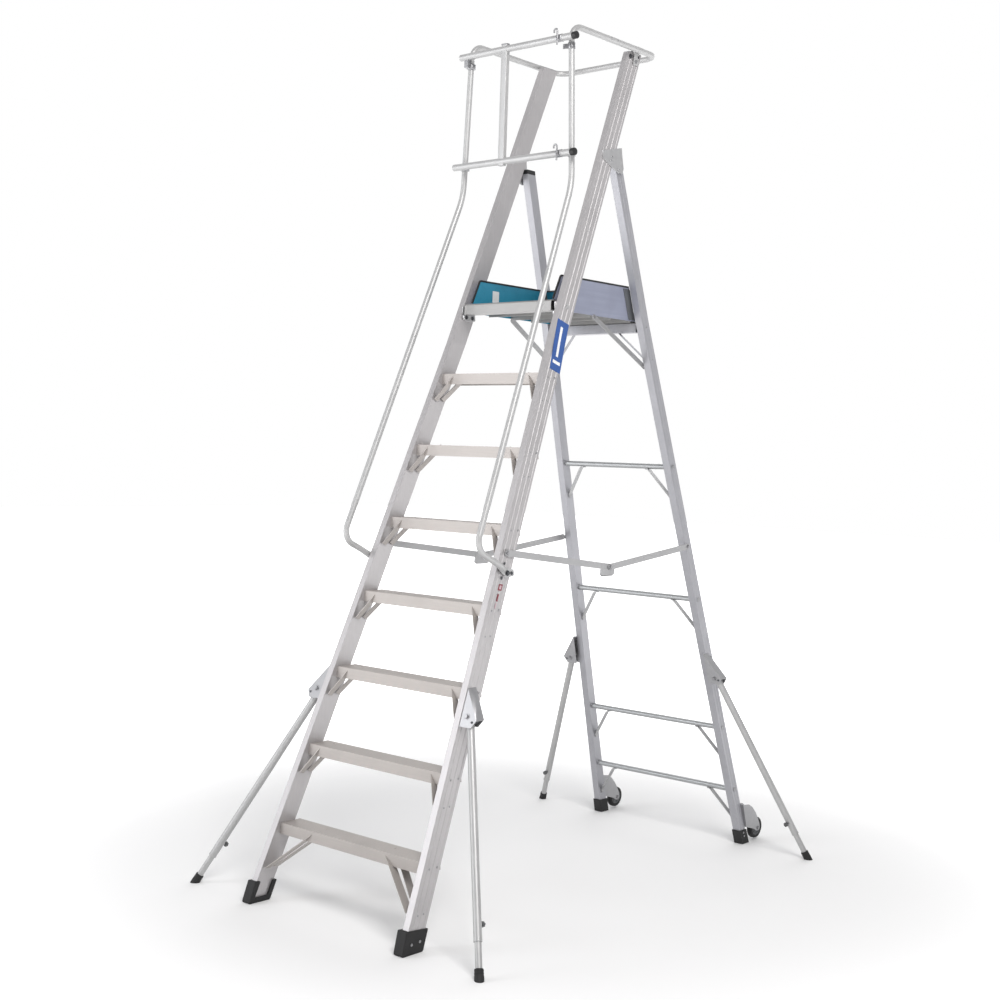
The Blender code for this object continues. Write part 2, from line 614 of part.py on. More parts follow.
axis_top = Vector((-post_x(3.4000), RAIL_Y, 3.4000))
axis_low = Vector((-post_x(GATE_LOW_Z), RAIL_Y, GATE_LOW_Z))
gate_axis = empty("gate_axis", tuple(axis_low), root)
lean_axis = (axis_top - axis_low).normalized()


def eye(centre, tall, name):
    bm = outline([circle(0, 0, 0.0198, 14), circle(0, 0, 0.0155, 14)], tall)
    turn = Vector((0, 0, 1)).rotation_difference(lean_axis).to_matrix().to_4x4()
    bm.transform(Matrix.Translation(centre) @ turn)
    return to_mesh(bm, name)


gate = add("gate", pipe([(-0.3030, GATE_Y, GATE_TOP_Z), (0.0, GATE_Y, GATE_TOP_Z), (0.3210, GATE_Y, GATE_TOP_Z)], GATE_R, True, 8, "gate"), "tube", gate_axis)
boolean(gate, pipe([(-0.3240, GATE_Y, GATE_LOW_Z), (0.0, GATE_Y, GATE_LOW_Z), (0.3310, GATE_Y, GATE_LOW_Z)], GATE_R, True, 8, "gate_low"), "UNION")
boolean(gate, box((-0.0700, GATE_Y - 0.0110, GATE_LOW_Z - 0.0180), (-0.0400, GATE_Y + 0.0110, GATE_TOP_Z + 0.0220)), "UNION")
boolean(gate, eye(axis_top + lean_axis * 0.004, 0.0180, "eye_top"), "UNION")
boolean(gate, box((axis_top.x - 0.0100, GATE_Y - 0.0060, 3.3960), (axis_top.x + 0.0100, GATE_Y + 0.0130, GATE_TOP_Z)), "UNION")
boolean(gate, eye(axis_low, 0.0220, "eye_low"), "UNION")

# drop pins that lock the gate at the right-hand rail
for name, z, x in (("latch_upper", GATE_TOP_Z, 0.2350), ("latch_lower", GATE_LOW_Z, 0.2520)):
    pin_axis = empty(name + "_axis", (x, GATE_Y, z), gate_axis)
    pin = add(name, pipe(bends([(x, GATE_Y - 0.0200, z - 0.0300), (x, GATE_Y - 0.0200, z + 0.0330), (x - 0.0160, GATE_Y - 0.0200, z + 0.0330),
                                (x - 0.0160, GATE_Y - 0.0200, z + 0.0190)], [0, 0.0070, 0.0070, 0], 3), 0.0035, True, 8, name), "steel", pin_axis)


# ------------------------------------------------------------ outriggers
def outrigger(tag, s, frame, plane_y, lean, face_x, leg_x0, leg_slope, offset):
    """Hooded bracket, swinging tube, sliding leg and its locking knob."""
    normal = Vector((0.0, 1.0, -lean)).normalized()          # of the leg's plane

    def at(z, x=None):
        return Vector((s * (leg_x0 - leg_slope * z if x is None else x), plane_y(z) + offset, z))

    # hood: sloped top plate with a cheek in front and behind
    half, skin = 0.0220, 0.0030
    hood = [(GAP, 0.9050), (0.0760, 0.7980), (0.0560, 0.7700), (GAP, 0.7700)]
    fall = (0.7980 - 0.9050) / 0.0760
    drop = skin / math.cos(math.atan(abs(fall)))
    void = [(-0.0200, 0.9050 - 0.0200 * fall - drop), (0.1000, 0.9050 + 0.1000 * fall - drop), (0.1000, 0.7000), (-0.0200, 0.7000)]

    def placed(loop, deep):
        bm = outline([loop], deep)
        warp(bm, lambda e, z, y: (s * (face_x(z) + e), plane_y(z) + offset + y, z))
        return to_mesh(bm, "hood")

    bracket = add("outrigger_bracket_" + tag, placed(hood, 2 * half), "bracket", frame)
    boolean(bracket, placed(void, 2 * (half - skin)), "DIFFERENCE")

    top, low = at(OUT_PIVOT_Z), at(0.0)
    run = (low - top).normalized()
    pivot = empty("outrigger_axis_" + tag, tuple(top), frame)
    end = at(0.1100)
    tube = add("outrigger_tube_" + tag, pipe([top - run * 0.0180, (top + end) / 2, end], LEG_OUT_R, False, 8, "outrigger_tube"), "tube", pivot)
    solidify(tube, LEG_WALL)
    pin = (half - skin) * normal.y - 0.0006
    boolean(tube, rod(top - normal * pin, top + normal * pin, 0.0055, 10), "UNION")

    slide = empty("leg_axis_" + tag, tuple(end), pivot)
    start = at(0.3200)
    sole = at(0.0)
    leg = add("outrigger_leg_" + tag, pipe([start, (start + sole) / 2, sole - run * 0.0200], LEG_IN_R, False, 8, "outrigger_leg"), "tube", slide)
    solidify(leg, 0.0020)
    shoe = pipe([sole - run * 0.0400, sole + run * 0.0300], 0.0175, True, 8, "outrigger_foot")
    bm = bmesh.new()
    bm.from_mesh(shoe)
    cut = bmesh.ops.bisect_plane(bm, geom=bm.verts[:] + bm.edges[:] + bm.faces[:], plane_co=(0, 0, 0), plane_no=(0, 0, -1), clear_outer=True)
    bmesh.ops.holes_fill(bm, edges=[e for e in bm.edges if e.is_boundary])
    boolean(leg, to_mesh(bm, "outrigger_foot"), "UNION")

    out = normal if offset else -normal                      # towards the middle of the ladder
    hub = at(0.1650) + out * (LEG_OUT_R + 0.0006)
    turn = empty("knob_axis_" + tag, tuple(hub), pivot)
    knob = add("outrigger_knob_" + tag, rod(hub, hub + out * 0.0100, 0.0060, 10, "outrigger_knob"), "plastic", turn)
    boolean(knob, rod(hub + out * 0.0080, hub + out * 0.0250, 0.0120, 8), "UNION")


for side, s in SIDES:
    outrigger("front_" + side, s, root, front_y, FRONT_LEAN, front_x, FRONT_LEG_X0, FRONT_LEG_SLOPE, 0.0250)
    outrigger("rear_" + side, s, rear_frame, rear_y, REAR_LEAN, rear_x, REAR_LEG_X0, REAR_LEG_SLOPE, 0.0)

# ------------------------------------------------------------ wheels
FORK_TOP, FORK_LOW = 0.1850, 0.0760


def back_face(z):
    return rear_y(z) + REAR_D + GAP


FORK = [(back_face(FORK_LOW), FORK_LOW), (1.1880, 0.0560), (1.2040, 0.0460), (1.2200, 0.0420), (1.2320, 0.0450), (1.2370, 0.0560),
        (1.2340, 0.0740), (1.2180, 0.1040), (1.1960, 0.1340), (1.1680, 0.1610), (1.1360, 0.1790), (back_face(FORK_TOP), FORK_TOP)]
for side, s in SIDES:
    fork_x0, fork_x1 = WHEEL_X - 0.0200, WHEEL_X + 0.0200
    fork = add("wheel_fork_" + side, along_x([FORK], s * fork_x0, s * fork_x1, "wheel_fork"), "bracket", rear_frame)
    void = [(back_face(FORK_LOW - 0.06) + 0.003, FORK_LOW - 0.06), (1.30, FORK_LOW - 0.06), (1.30, FORK_TOP + 0.05), (back_face(FORK_TOP + 0.05) + 0.003, FORK_TOP + 0.05)]
    boolean(fork, along_x([void], s * (WHEEL_X - 0.0172), s * (WHEEL_X + 0.0172), "fork_void"), "DIFFERENCE")
    boolean(fork, rod((s * (fork_x0 - 0.003), WHEEL_Y, WHEEL_Z), (s * (fork_x1 + 0.003), WHEEL_Y, WHEEL_Z), 0.0050, 12), "UNION")
    axle = empty("wheel_axis_" + side, (s * WHEEL_X, WHEEL_Y, WHEEL_Z), rear_frame)
    # wheel: a turned section about its axle
    hw = WHEEL_W / 2
    section = [(0.0062, -0.0150), (0.0140, -0.0150), (0.0160, -0.0060), (0.0340, -0.0060), (0.0370, -hw + 0.001), (0.0460, -hw),
               (0.0492, -0.0085), (WHEEL_R, 0.0), (0.0492, 0.0085), (0.0460, hw), (0.0370, hw - 0.001), (0.0340, 0.0060),
               (0.0160, 0.0060), (0.0140, 0.0150), (0.0062, 0.0150)]
    bm = bmesh.new()
    ring = [bm.verts.new((x, 0.0, r)) for r, x in section]
    for a, b in zip(ring, ring[1:] + ring[:1]):
        bm.edges.new((a, b))
    mesh = bpy.data.meshes.new("wheel")
    bm.to_mesh(mesh)
    bm.free()
    wheel = bpy.data.objects.new("wheel_" + side, mesh)
    parts.objects.link(wheel)
    wheel.parent = axle
    wheel.location = (0.0, 0.0, 0.0)
    mesh.materials.append(material("wheel_" + side, *COLOURS["plastic"]))
    screw = wheel.modifiers.new("Turn", "SCREW")
    screw.axis = "X"
    screw.angle = 2 * math.pi
    screw.steps = 24
    screw.render_steps = 24
    screw.use_merge_vertices = True
    screw.merge_threshold = 1e-5
    screw.use_normal_calculate = True

bpy.context.view_layer.update()
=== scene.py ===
import math

import bmesh
import bpy
from mathutils import Matrix, Vector


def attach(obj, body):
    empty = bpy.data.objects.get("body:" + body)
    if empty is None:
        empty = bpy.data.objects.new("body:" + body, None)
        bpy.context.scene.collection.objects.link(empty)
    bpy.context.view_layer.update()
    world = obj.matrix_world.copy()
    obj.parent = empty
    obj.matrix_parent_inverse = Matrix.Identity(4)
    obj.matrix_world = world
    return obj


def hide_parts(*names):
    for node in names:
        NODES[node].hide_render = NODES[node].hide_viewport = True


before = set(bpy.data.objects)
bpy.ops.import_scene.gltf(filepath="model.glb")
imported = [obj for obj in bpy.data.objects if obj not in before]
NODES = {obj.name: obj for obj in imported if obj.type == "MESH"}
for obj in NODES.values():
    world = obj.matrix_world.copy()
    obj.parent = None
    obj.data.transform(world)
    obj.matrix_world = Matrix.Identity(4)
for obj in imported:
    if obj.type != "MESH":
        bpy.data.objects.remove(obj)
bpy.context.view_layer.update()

SHIFT = -0.061                      # design datum to the row frame, along Y


def D(x, y, z):
    """A point given from the design datum, in the row frame."""
    return Vector((x, y + SHIFT, z))


# ------------------------------------------------------------------ geometry of the frames (as in the CAD)
def front_y(z): return -1.1448 + 0.3991 * z
def front_x(z): return 0.4338 - 0.0654 * z if z <= 2.233 else 0.4338 - 0.0654 * 2.233 - 0.0339 * (z - 2.233)
def rear_y(z): return 1.0915 - 0.3096 * z
def rear_x(z): return 0.4264 - 0.0628 * z if z <= 2.36 else 0.4264 - 0.0628 * 2.36 - 0.0384 * (z - 2.36)
def tube_x(z): return 0.3338 - 0.046 * (z - 2.0)
def slope_y(z): return -0.5133 + 0.398 * (z - 2.0)


def post_x(z): return tube_x(2.86) + (z - 2.86) * (0.267 - tube_x(2.86)) / 0.636


FRONT_W, FRONT_D = 0.0300, 0.0883
REAR_W, REAR_D = 0.0350, 0.0506
SIDES = (("left", -1.0), ("right", 1.0))


# ------------------------------------------------------------------ materials
def nodes_of(name):
    m = bpy.data.materials.new(name)
    m.use_nodes = True
    t = m.node_tree
    return m, t, t.nodes["Principled BSDF"]


def streaked_metal(name, colour, rough=0.40, metallic=0.75, along="Z", scale=260.0, streak=0.035, spread=0.05,
                   bump=0.05, cloud=0.05, tint=None):
    """Drawn or extruded aluminium: die lines along one axis, faint cloudy handling marks, uneven sheen."""
    m, t, p = nodes_of(name)
    n, l = t.nodes, t.links
    co = n.new("ShaderNodeTexCoord")
    mp = n.new("ShaderNodeMapping")
    s = [scale, scale, scale]
    if along in "XYZ":
        s["XYZ".index(along)] = scale * streak
    mp.inputs["Scale"].default_value = s
    l.new(co.outputs["Object"], mp.inputs["Vector"])
    lines = n.new("ShaderNodeTexNoise")
    lines.inputs["Scale"].default_value = 1.0
    lines.inputs["Detail"].default_value = 4.0
    lines.inputs["Roughness"].default_value = 0.6
    l.new(mp.outputs["Vector"], lines.inputs["Vector"])
    clouds = n.new("ShaderNodeTexNoise")
    clouds.inputs["Scale"].default_value = 9.0
    clouds.inputs["Detail"].default_value = 3.0
    l.new(co.outputs["Object"], clouds.inputs["Vector"])
    ramp = n.new("ShaderNodeValToRGB")
    lo = tuple(max(0.0, c * (1 - spread)) for c in colour)
    hi = tuple(min(1.0, c * (1 + spread)) for c in colour)
    ramp.color_ramp.elements[0].position = 0.30
    ramp.color_ramp.elements[1].position = 0.70
    ramp.color_ramp.elements[0].color = (*lo, 1)
    ramp.color_ramp.elements[1].color = (*hi, 1)
    l.new(lines.outputs["Fac"], ramp.inputs["Fac"])
    dark = tint or tuple(c * (1 - 2.2 * cloud) for c in colour)
    mix = n.new("ShaderNodeMix")
    mix.data_type = "RGBA"
    mask = n.new("ShaderNodeMapRange")
    mask.inputs["From Min"].default_value = 0.45
    mask.inputs["From Max"].default_value = 0.80
    mask.inputs["To Max"].default_value = 0.7
    l.new(clouds.outputs["Fac"], mask.inputs["Value"])
    l.new(mask.outputs["Result"], mix.inputs["Factor"])
    l.new(ramp.outputs["Color"], mix.inputs["A"])
    mix.inputs["B"].default_value = (*dark, 1)
    l.new(mix.outputs["Result"], p.inputs["Base Color"])
    rr = n.new("ShaderNodeMapRange")
    rr.inputs["To Min"].default_value = max(0.05, rough - 0.10)
    rr.inputs["To Max"].default_value = rough + 0.10
    l.new(lines.outputs["Fac"], rr.inputs["Value"])
    l.new(rr.outputs["Result"], p.inputs["Roughness"])
    b = n.new("ShaderNodeBump")
    b.inputs["Strength"].default_value = bump
    b.inputs["Distance"].default_value = 0.0006
    l.new(lines.outputs["Fac"], b.inputs["Height"])
    l.new(b.outputs["Normal"], p.inputs["Normal"])
    p.inputs["Metallic"].default_value = metallic
    return m


def speckled(name, colour, rough=0.7, spread=0.25, scale=420.0, bump=0.25, metallic=0.0, distance=0.0005, dust=0.0):
    """Rubber, moulded plastic or powder coat: fine grain, with dust on top where asked."""
    m, t, p = nodes_of(name)
    n, l = t.nodes, t.links
    co = n.new("ShaderNodeTexCoord")
    grain = n.new("ShaderNodeTexNoise")
    grain.inputs["Scale"].default_value = scale
    grain.inputs["Detail"].default_value = 5.0
    l.new(co.outputs["Object"], grain.inputs["Vector"])
    patch = n.new("ShaderNodeTexNoise")
    patch.inputs["Scale"].default_value = 14.0
    patch.inputs["Detail"].default_value = 4.0
    l.new(co.outputs["Object"], patch.inputs["Vector"])
    ramp = n.new("ShaderNodeValToRGB")
    ramp.color_ramp.elements[0].position = 0.25
    ramp.color_ramp.elements[1].position = 0.75
    ramp.color_ramp.elements[0].color = (*[max(0, c * (1 - spread)) for c in colour], 1)
    ramp.color_ramp.elements[1].color = (*[min(1, c * (1 + spread)) for c in colour], 1)
    l.new(patch.outputs["Fac"], ramp.inputs["Fac"])
    out = ramp.outputs["Color"]
    if dust:
        mix = n.new("ShaderNodeMix")
        mix.data_type = "RGBA"
        mask = n.new("ShaderNodeMapRange")
        mask.inputs["From Min"].default_value = 0.55
        mask.inputs["From Max"].default_value = 0.75
        mask.inputs["To Max"].default_value = dust
        l.new(grain.outputs["Fac"], mask.inputs["Value"])
        l.new(mask.outputs["Result"], mix.inputs["Factor"])
        l.new(out, mix.inputs["A"])
        mix.inputs["B"].default_value = (0.32, 0.31, 0.29, 1)
        out = mix.outputs["Result"]
    l.new(out, p.inputs["Base Color"])
    rr = n.new("ShaderNodeMapRange")
    rr.inputs["To Min"].default_value = max(0.05, rough - 0.08)
    rr.inputs["To Max"].default_value = min(1.0, rough + 0.08)
    l.new(grain.outputs["Fac"], rr.inputs["Value"])
    l.new(rr.outputs["Result"], p.inputs["Roughness"])
    b = n.new("ShaderNodeBump")
    b.inputs["Strength"].default_value = bump
    b.inputs["Distance"].default_value = distance
    l.new(grain.outputs["Fac"], b.inputs["Height"])
    l.new(b.outputs["Normal"], p.inputs["Normal"])
    p.inputs["Metallic"].default_value = metallic
    return m


M = {
    "stile": streaked_metal("extruded_aluminium", (0.50, 0.485, 0.49), 0.40, 0.60, "Z", bump=0.02),
    "rear_stile": streaked_metal("extruded_aluminium_rear", (0.40, 0.40, 0.425), 0.40, 0.60, "Z", bump=0.02),
    "tread": streaked_metal("tread_aluminium", (0.44, 0.41, 0.39), 0.46, 0.45, "X", bump=0.02),
    "tube": streaked_metal("drawn_tube", (0.47, 0.47, 0.47), 0.46, 0.50, "-", scale=30.0, spread=0.04, bump=0.006),
    "rung": streaked_metal("rung_tube", (0.40, 0.41, 0.415), 0.38, 0.72, "-", scale=30.0, spread=0.04, bump=0.006),
    "flat": streaked_metal("flat_bar", (0.40, 0.40, 0.405), 0.38, 0.65, "Y", scale=120.0, bump=0.01),
    "deck": streaked_metal("deck_plank", (0.34, 0.335, 0.33), 0.46, 0.55, "X", bump=0.02),
    "bracket": streaked_metal("pressed_bracket", (0.40, 0.40, 0.41), 0.36, 0.75, "-", scale=60.0, spread=0.06, bump=0.015),
    "zinc": streaked_metal("zinc_plate", (0.36, 0.36, 0.37), 0.32, 0.85, "-", scale=120.0, spread=0.08, cloud=0.08, bump=0.01),
    "bright": streaked_metal("bright_plate", (0.56, 0.56, 0.565), 0.34, 0.75, "-", scale=60.0, spread=0.06, bump=0.01),
    "dark_bolt": streaked_metal("dark_bolt", (0.085, 0.088, 0.095), 0.34, 0.70, "-", scale=200.0, spread=0.12, bump=0.02),
    # lilac-grey base colour is a painted reflection for the outer faces of the side toe boards, on a half-metallic
    # finish
    "outer_painted_reflection": streaked_metal("lilac_painted_reflection", (0.30, 0.32, 0.41), 0.34, 0.40, "Y", scale=60.0, spread=0.06, cloud=0.06, bump=0.01),
    "teal": speckled("teal_coat", (0.030, 0.235, 0.36), 0.30, 0.10, 300.0, 0.05, 0.10),
    "rubber": speckled("black_rubber", (0.010, 0.010, 0.0105), 0.62, 0.30, 380.0, 0.25, dust=0.04),
    "plastic": speckled("black_plastic", (0.012, 0.012, 0.013), 0.40, 0.15, 500.0, 0.10),
    "grey_plastic": speckled("grey_plastic", (0.095, 0.098, 0.10), 0.50, 0.12, 400.0, 0.12),
    "hub": speckled("grey_hub", (0.16, 0.165, 0.17), 0.50, 0.12, 400.0, 0.12),
    "red": speckled("label_red", (0.20, 0.035, 0.05), 0.45, 0.10, 300.0, 0.02),
    # plain dark grey for the strip up the toe boards' rear edges, on both faces
    "dark_grey_strip": speckled("dark_strip", (0.085, 0.09, 0.10), 0.55, 0.20, 300.0, 0.15),
    "blue": speckled("label_blue", (0.030, 0.085, 0.28), 0.30, 0.06, 200.0, 0.02),
    "pale": speckled("label_white", (0.72, 0.72, 0.72), 0.35, 0.05, 200.0, 0.02),
    "rose": speckled("label_rose", (0.50, 0.36, 0.39), 0.40, 0.08, 200.0, 0.02),
}


# ------------------------------------------------------------------ mesh helpers
def soften(mesh, angle=32.0):
    bm = bmesh.new()
    bm.from_mesh(mesh)
    bmesh.ops.recalc_face_normals(bm, faces=bm.faces[:])
    limit = math.radians(angle)
    for f in bm.faces:
        f.smooth = True
    for e in bm.edges:
        e.smooth = len(e.link_faces) == 2 and e.calc_face_angle(0.0) < limit
    bm.to_mesh(mesh)
    bm.free()


def piece(name, bm, mats, body, replaces=(), bevel=0.0, angle=32.0, segments=2):
    mesh = bpy.data.meshes.new(name)
    bm.to_mesh(mesh)
    bm.free()
    for m in (mats if isinstance(mats, (list, tuple)) else [mats]):
        mesh.materials.append(M[m])
    o = bpy.data.objects.new(name, mesh)
    bpy.context.scene.collection.objects.link(o)
    soften(mesh, angle)
    if bevel:
        b = o.modifiers.new("Edges", "BEVEL")
        b.width = bevel
        b.segments = segments
        b.limit_method = "ANGLE"
        b.angle_limit = math.radians(38)
        b.harden_normals = True
    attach(o, body)
    if replaces:
        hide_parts(*replaces)
    return o


def frames_along(pts):
    """Parallel-transport frames down a path."""
    out = []
    t = (pts[1] - pts[0]).normalized()
    ref = Vector((1, 0, 0)) if abs(t.x) < 0.8 else Vector((0, 0, 1))
    u = (ref - t * ref.dot(t)).normalized()
    for i in range(len(pts)):
        if i == 0:
            d = (pts[1] - pts[0]).normalized()
        elif i == len(pts) - 1:
            d = (pts[-1] - pts[-2]).normalized()
        else:
            d = ((pts[i] - pts[i - 1]).normalized() + (pts[i + 1] - pts[i]).normalized()).normalized()
        u = (u - d * u.dot(d)).normalized()
        out.append((d, u, d.cross(u)))
    return out


def sweep(bm, pts, r, sides=20, ends=("open", "open"), wall=0.002, flat=None, mat=0, deep=0.03):
    """A tube along pts.  An open end shows its wall and a dark bore; flat(i, pts) gives a ring's two half widths."""
    pts = [Vector(p) for p in pts]
    fr = frames_along(pts)
    rings = []
    for i, p in enumerate(pts):
        d, u, v = fr[i]
        a, b = (r, r) if flat is None else flat(i, r)
        rings.append([bm.verts.new(p + u * a * math.cos(2 * math.pi * k / sides) + v * b * math.sin(2 * math.pi * k / sides)) for k in range(sides)])
    faces = []

    def bridge(r0, r1):
        for k in range(sides):
            faces.append(bm.faces.new((r0[k], r0[(k + 1) % sides], r1[(k + 1) % sides], r1[k])))

    for r0, r1 in zip(rings, rings[1:]):
        bridge(r0, r1)
    for which, idx, sgn in ((ends[0], 0, -1), (ends[1], len(pts) - 1, 1)):
        d, u, v = fr[idx]
        a, b = (r, r) if flat is None else flat(idx, r)
        ring = rings[idx]
        if which == "open":
            def ring_at(fa, fb, back):
                c = pts[idx] - d * sgn * back
                return [bm.verts.new(c + u * fa * math.cos(2 * math.pi * k / sides) + v * fb * math.sin(2 * math.pi * k / sides)) for k in range(sides)]
            lip = ring_at(max(a - wall, a * 0.3), max(b - wall, b * 0.3), 0.0)
            pit = ring_at(max(a - wall, a * 0.3), max(b - wall, b * 0.3), deep)
            bridge(ring, lip)
            bridge(lip, pit)
            faces.append(bm.faces.new(pit))
        else:
            c = bm.verts.new(pts[idx] + d * sgn * (r * 0.25 if which == "round" else 0.0))
            rim = [bm.verts.new(pts[idx] + d * sgn * (r * 0.18 if which == "round" else 0.0) + (q.co - pts[idx]) * (0.72 if which == "round" else 0.9)) for q in ring]
            bridge(ring, rim)
            for k in range(sides):
                faces.append(bm.faces.new((rim[k], rim[(k + 1) % sides], c)))
    for f in faces:
        f.material_index = mat
    return faces


def bends(points, radii, steps=9):
    pts = [Vector(p) for p in points]
    out = [pts[0]]
    for i in range(1, len(pts) - 1):
        p, r = pts[i], radii[i]
        u = (pts[i - 1] - p).normalized()
        v = (pts[i + 1] - p).normalized()
        angle = math.acos(max(-1.0, min(1.0, u.dot(v))))
        if r <= 0 or abs(math.pi - angle) < 0.02:
            out.append(p)
            continue
        reach = r / math.tan(angle / 2)
        reach = min(reach, 0.49 * (pts[i - 1] - p).length if i > 1 else reach,
                    0.49 * (pts[i + 1] - p).length if i < len(pts) - 2 else reach)
        r = reach * math.tan(angle / 2)
        centre = p + (u + v).normalized() * (r / math.sin(angle / 2))
        a, b = p + u * reach - centre, p + v * reach - centre
        sweep_angle = a.angle(b)
        for s in range(steps + 1):
            f = s / steps
            out.append(centre + (a * math.sin((1 - f) * sweep_angle) + b * math.sin(f * sweep_angle)) / math.sin(sweep_angle))
    out.append(pts[-1])
    return out


def densify(pts, step):
    out = [pts[0]]
    for a, b in zip(pts, pts[1:]):
        n = max(1, int((b - a).length / step))
        for i in range(1, n + 1):
            out.append(a.lerp(b, i / n))
    return out


def basis(axis):
    d = Vector(axis).normalized()
    ref = Vector((0, 0, 1)) if abs(d.z) < 0.9 else Vector((1, 0, 0))
    u = (ref - d * ref.dot(d)).normalized()
    return d, u, d.cross(u)


def lathe(bm, base, axis, profile, sides=24, mat=0, phase=0.0, squash=None):
    """Turned shape: profile of (radius, height) up the axis from base, closed at both ends."""
    d, u, v = basis(axis)
    base = Vector(base)
    rings = []
    for rr, h in profile:
        if rr < 1e-6:
            rings.append([bm.verts.new(base + d * h)])
        else:
            rings.append([bm.verts.new(base + d * h + u * rr * math.cos(phase + 2 * math.pi * k / sides)
                                       + v * rr * math.sin(phase + 2 * math.pi * k / sides)) for k in range(sides)])
    for r0, r1 in zip(rings, rings[1:]):
        if len(r0) == 1 and len(r1) == 1:
            continue
        for k in range(sides):
            k2 = (k + 1) % sides
            if len(r0) == 1:
                f = bm.faces.new((r0[0], r1[k2], r1[k]))
            elif len(r1) == 1:
                f = bm.faces.new((r0[k], r0[k2], r1[0]))
            else:
                f = bm.faces.new((r0[k], r0[k2], r1[k2], r1[k]))
            f.material_index = mat
    for ring in (rings[0], rings[-1]):
        if len(ring) > 1:
            f = bm.faces.new(ring)
            f.material_index = mat


def rivet(bm, at, axis, r=0.0045, h=0.0022, mat=0):
    lathe(bm, at, axis, [(r * 1.02, 0.0), (r, h * 0.35), (r * 0.82, h * 0.72), (r * 0.45, h * 0.95), (0.0, h)], 12, mat)


def bolt(bm, at, axis, r=0.0075, h=0.0055, washer=0.0105, mat=0):
    """Washer and hexagon head."""
    lathe(bm, at, axis, [(washer, 0.0), (washer, 0.0010), (washer * 0.96, 0.0014), (r * 0.9, 0.0014)], 20, mat)
    lathe(bm, Vector(at) + Vector(axis).normalized() * 0.0014, axis,
          [(r, 0.0), (r, h * 0.8), (r * 0.9, h), (r * 0.5, h), (0.0, h * 0.97)], 6, mat)


def block(bm, corner, mat=0):
    """Eight-cornered block; corner(i, j, k) gives each corner."""
    v = {(i, j, k): bm.verts.new(Vector(corner(i, j, k))) for i in (0, 1) for j in (0, 1) for k in (0, 1)}
    quads = (((0, 0, 0), (0, 1, 0), (1, 1, 0), (1, 0, 0)), ((0, 0, 1), (1, 0, 1), (1, 1, 1), (0, 1, 1)),
             ((0, 0, 0), (1, 0, 0), (1, 0, 1), (0, 0, 1)), ((0, 1, 0), (0, 1, 1), (1, 1, 1), (1, 1, 0)),
             ((0, 0, 0), (0, 0, 1), (0, 1, 1), (0, 1, 0)), ((1, 0, 0), (1, 1, 0), (1, 1, 1), (1, 0, 1)))
    for q in quads:
        f = bm.faces.new([v[c] for c in q])
        f.material_index = mat


def box(bm, lo, hi, mat=0):
    block(bm, lambda i, j, k: ((lo[0], hi[0])[i], (lo[1], hi[1])[j], (lo[2], hi[2])[k]), mat)


def ribbon(bm, pts, across, width, thick, mat=0):
    """A bent flat strap through pts, `width` wide along `across`."""
    pts = [Vector(p) for p in pts]
    rings = []
    for i, p in enumerate(pts):
        a = pts[max(0, i - 1)]
        b = pts[min(len(pts) - 1, i + 1)]
        run = (b - a).normalized()
        w = Vector(across)
        w = (w - run * w.dot(run)).normalized()
        t = run.cross(w)
        if i == 0 or i == len(pts) - 1:
            k = 1.0
        else:
            k = 1.0 / max(0.5, (pts[i] - pts[i - 1]).normalized().dot(run))
        rings.append([bm.verts.new(p + w * sx * width / 2 + t * sy * k * thick / 2) for sx, sy in ((-1, -1), (1, -1), (1, 1), (-1, 1))])
    for r0, r1 in zip(rings, rings[1:]):
        for k in range(4):
            f = bm.faces.new((r0[k], r0[(k + 1) % 4], r1[(k + 1) % 4], r1[k]))
            f.material_index = mat
    for r in (rings[0], rings[-1]):
        bm.faces.new(r).material_index = mat


def plate(bm, loop, place, thick, mat=0):
    """Flat plate: loop of (a, b), placed by place(a, b, t) with t from 0 to thick."""
    lo = [bm.verts.new(Vector(place(a, b, 0.0))) for a, b in loop]
    hi = [bm.verts.new(Vector(place(a, b, thick))) for a, b in loop]
    n = len(loop)
    for i in range(n):
        bm.faces.new((lo[i], lo[(i + 1) % n], hi[(i + 1) % n], hi[i])).material_index = mat
    bm.faces.new(lo).material_index = mat
    bm.faces.new(hi).material_index = mat


def rounded(loop, r, steps=4):
    """Rounds the corners of a flat outline."""
    out = []
    n = len(loop)
    for i in range(n):
        p = Vector(loop[i]).to_2d() if len(loop[i]) > 2 else Vector(loop[i])
        a, b = Vector(loop[i - 1]), Vector(loop[(i + 1) % n])
        u, v = (a - p), (b - p)
        k = min(r, 0.45 * u.length, 0.45 * v.length)
        u, v = u.normalized() * k, v.normalized() * k
        for s in range(steps + 1):
            f = s / steps
            out.append(tuple((p + u) * (1 - f) ** 2 + p * 2 * f * (1 - f) + (p + v) * f ** 2))
    return out


# ------------------------------------------------------------------ finish on the CAD pieces that stay
def dress(names, mat, bevel=0.0007, segments=2):
    for name in names:
        o = NODES[name]
        if not o.data.materials:
            o.data.materials.append(M[mat])
        for i in range(len(o.data.materials)):
            o.data.materials[i] = M[mat]
        for sl in o.material_slots:
            sl.material = M[mat]
        w = o.modifiers.new("Weld", "WELD")
        w.merge_threshold = 0.00001
        if bevel:
            b = o.modifiers.new("Edges", "BEVEL")
            b.width = bevel
            b.segments = segments
            b.limit_method = "ANGLE"
            b.angle_limit = math.radians(38)


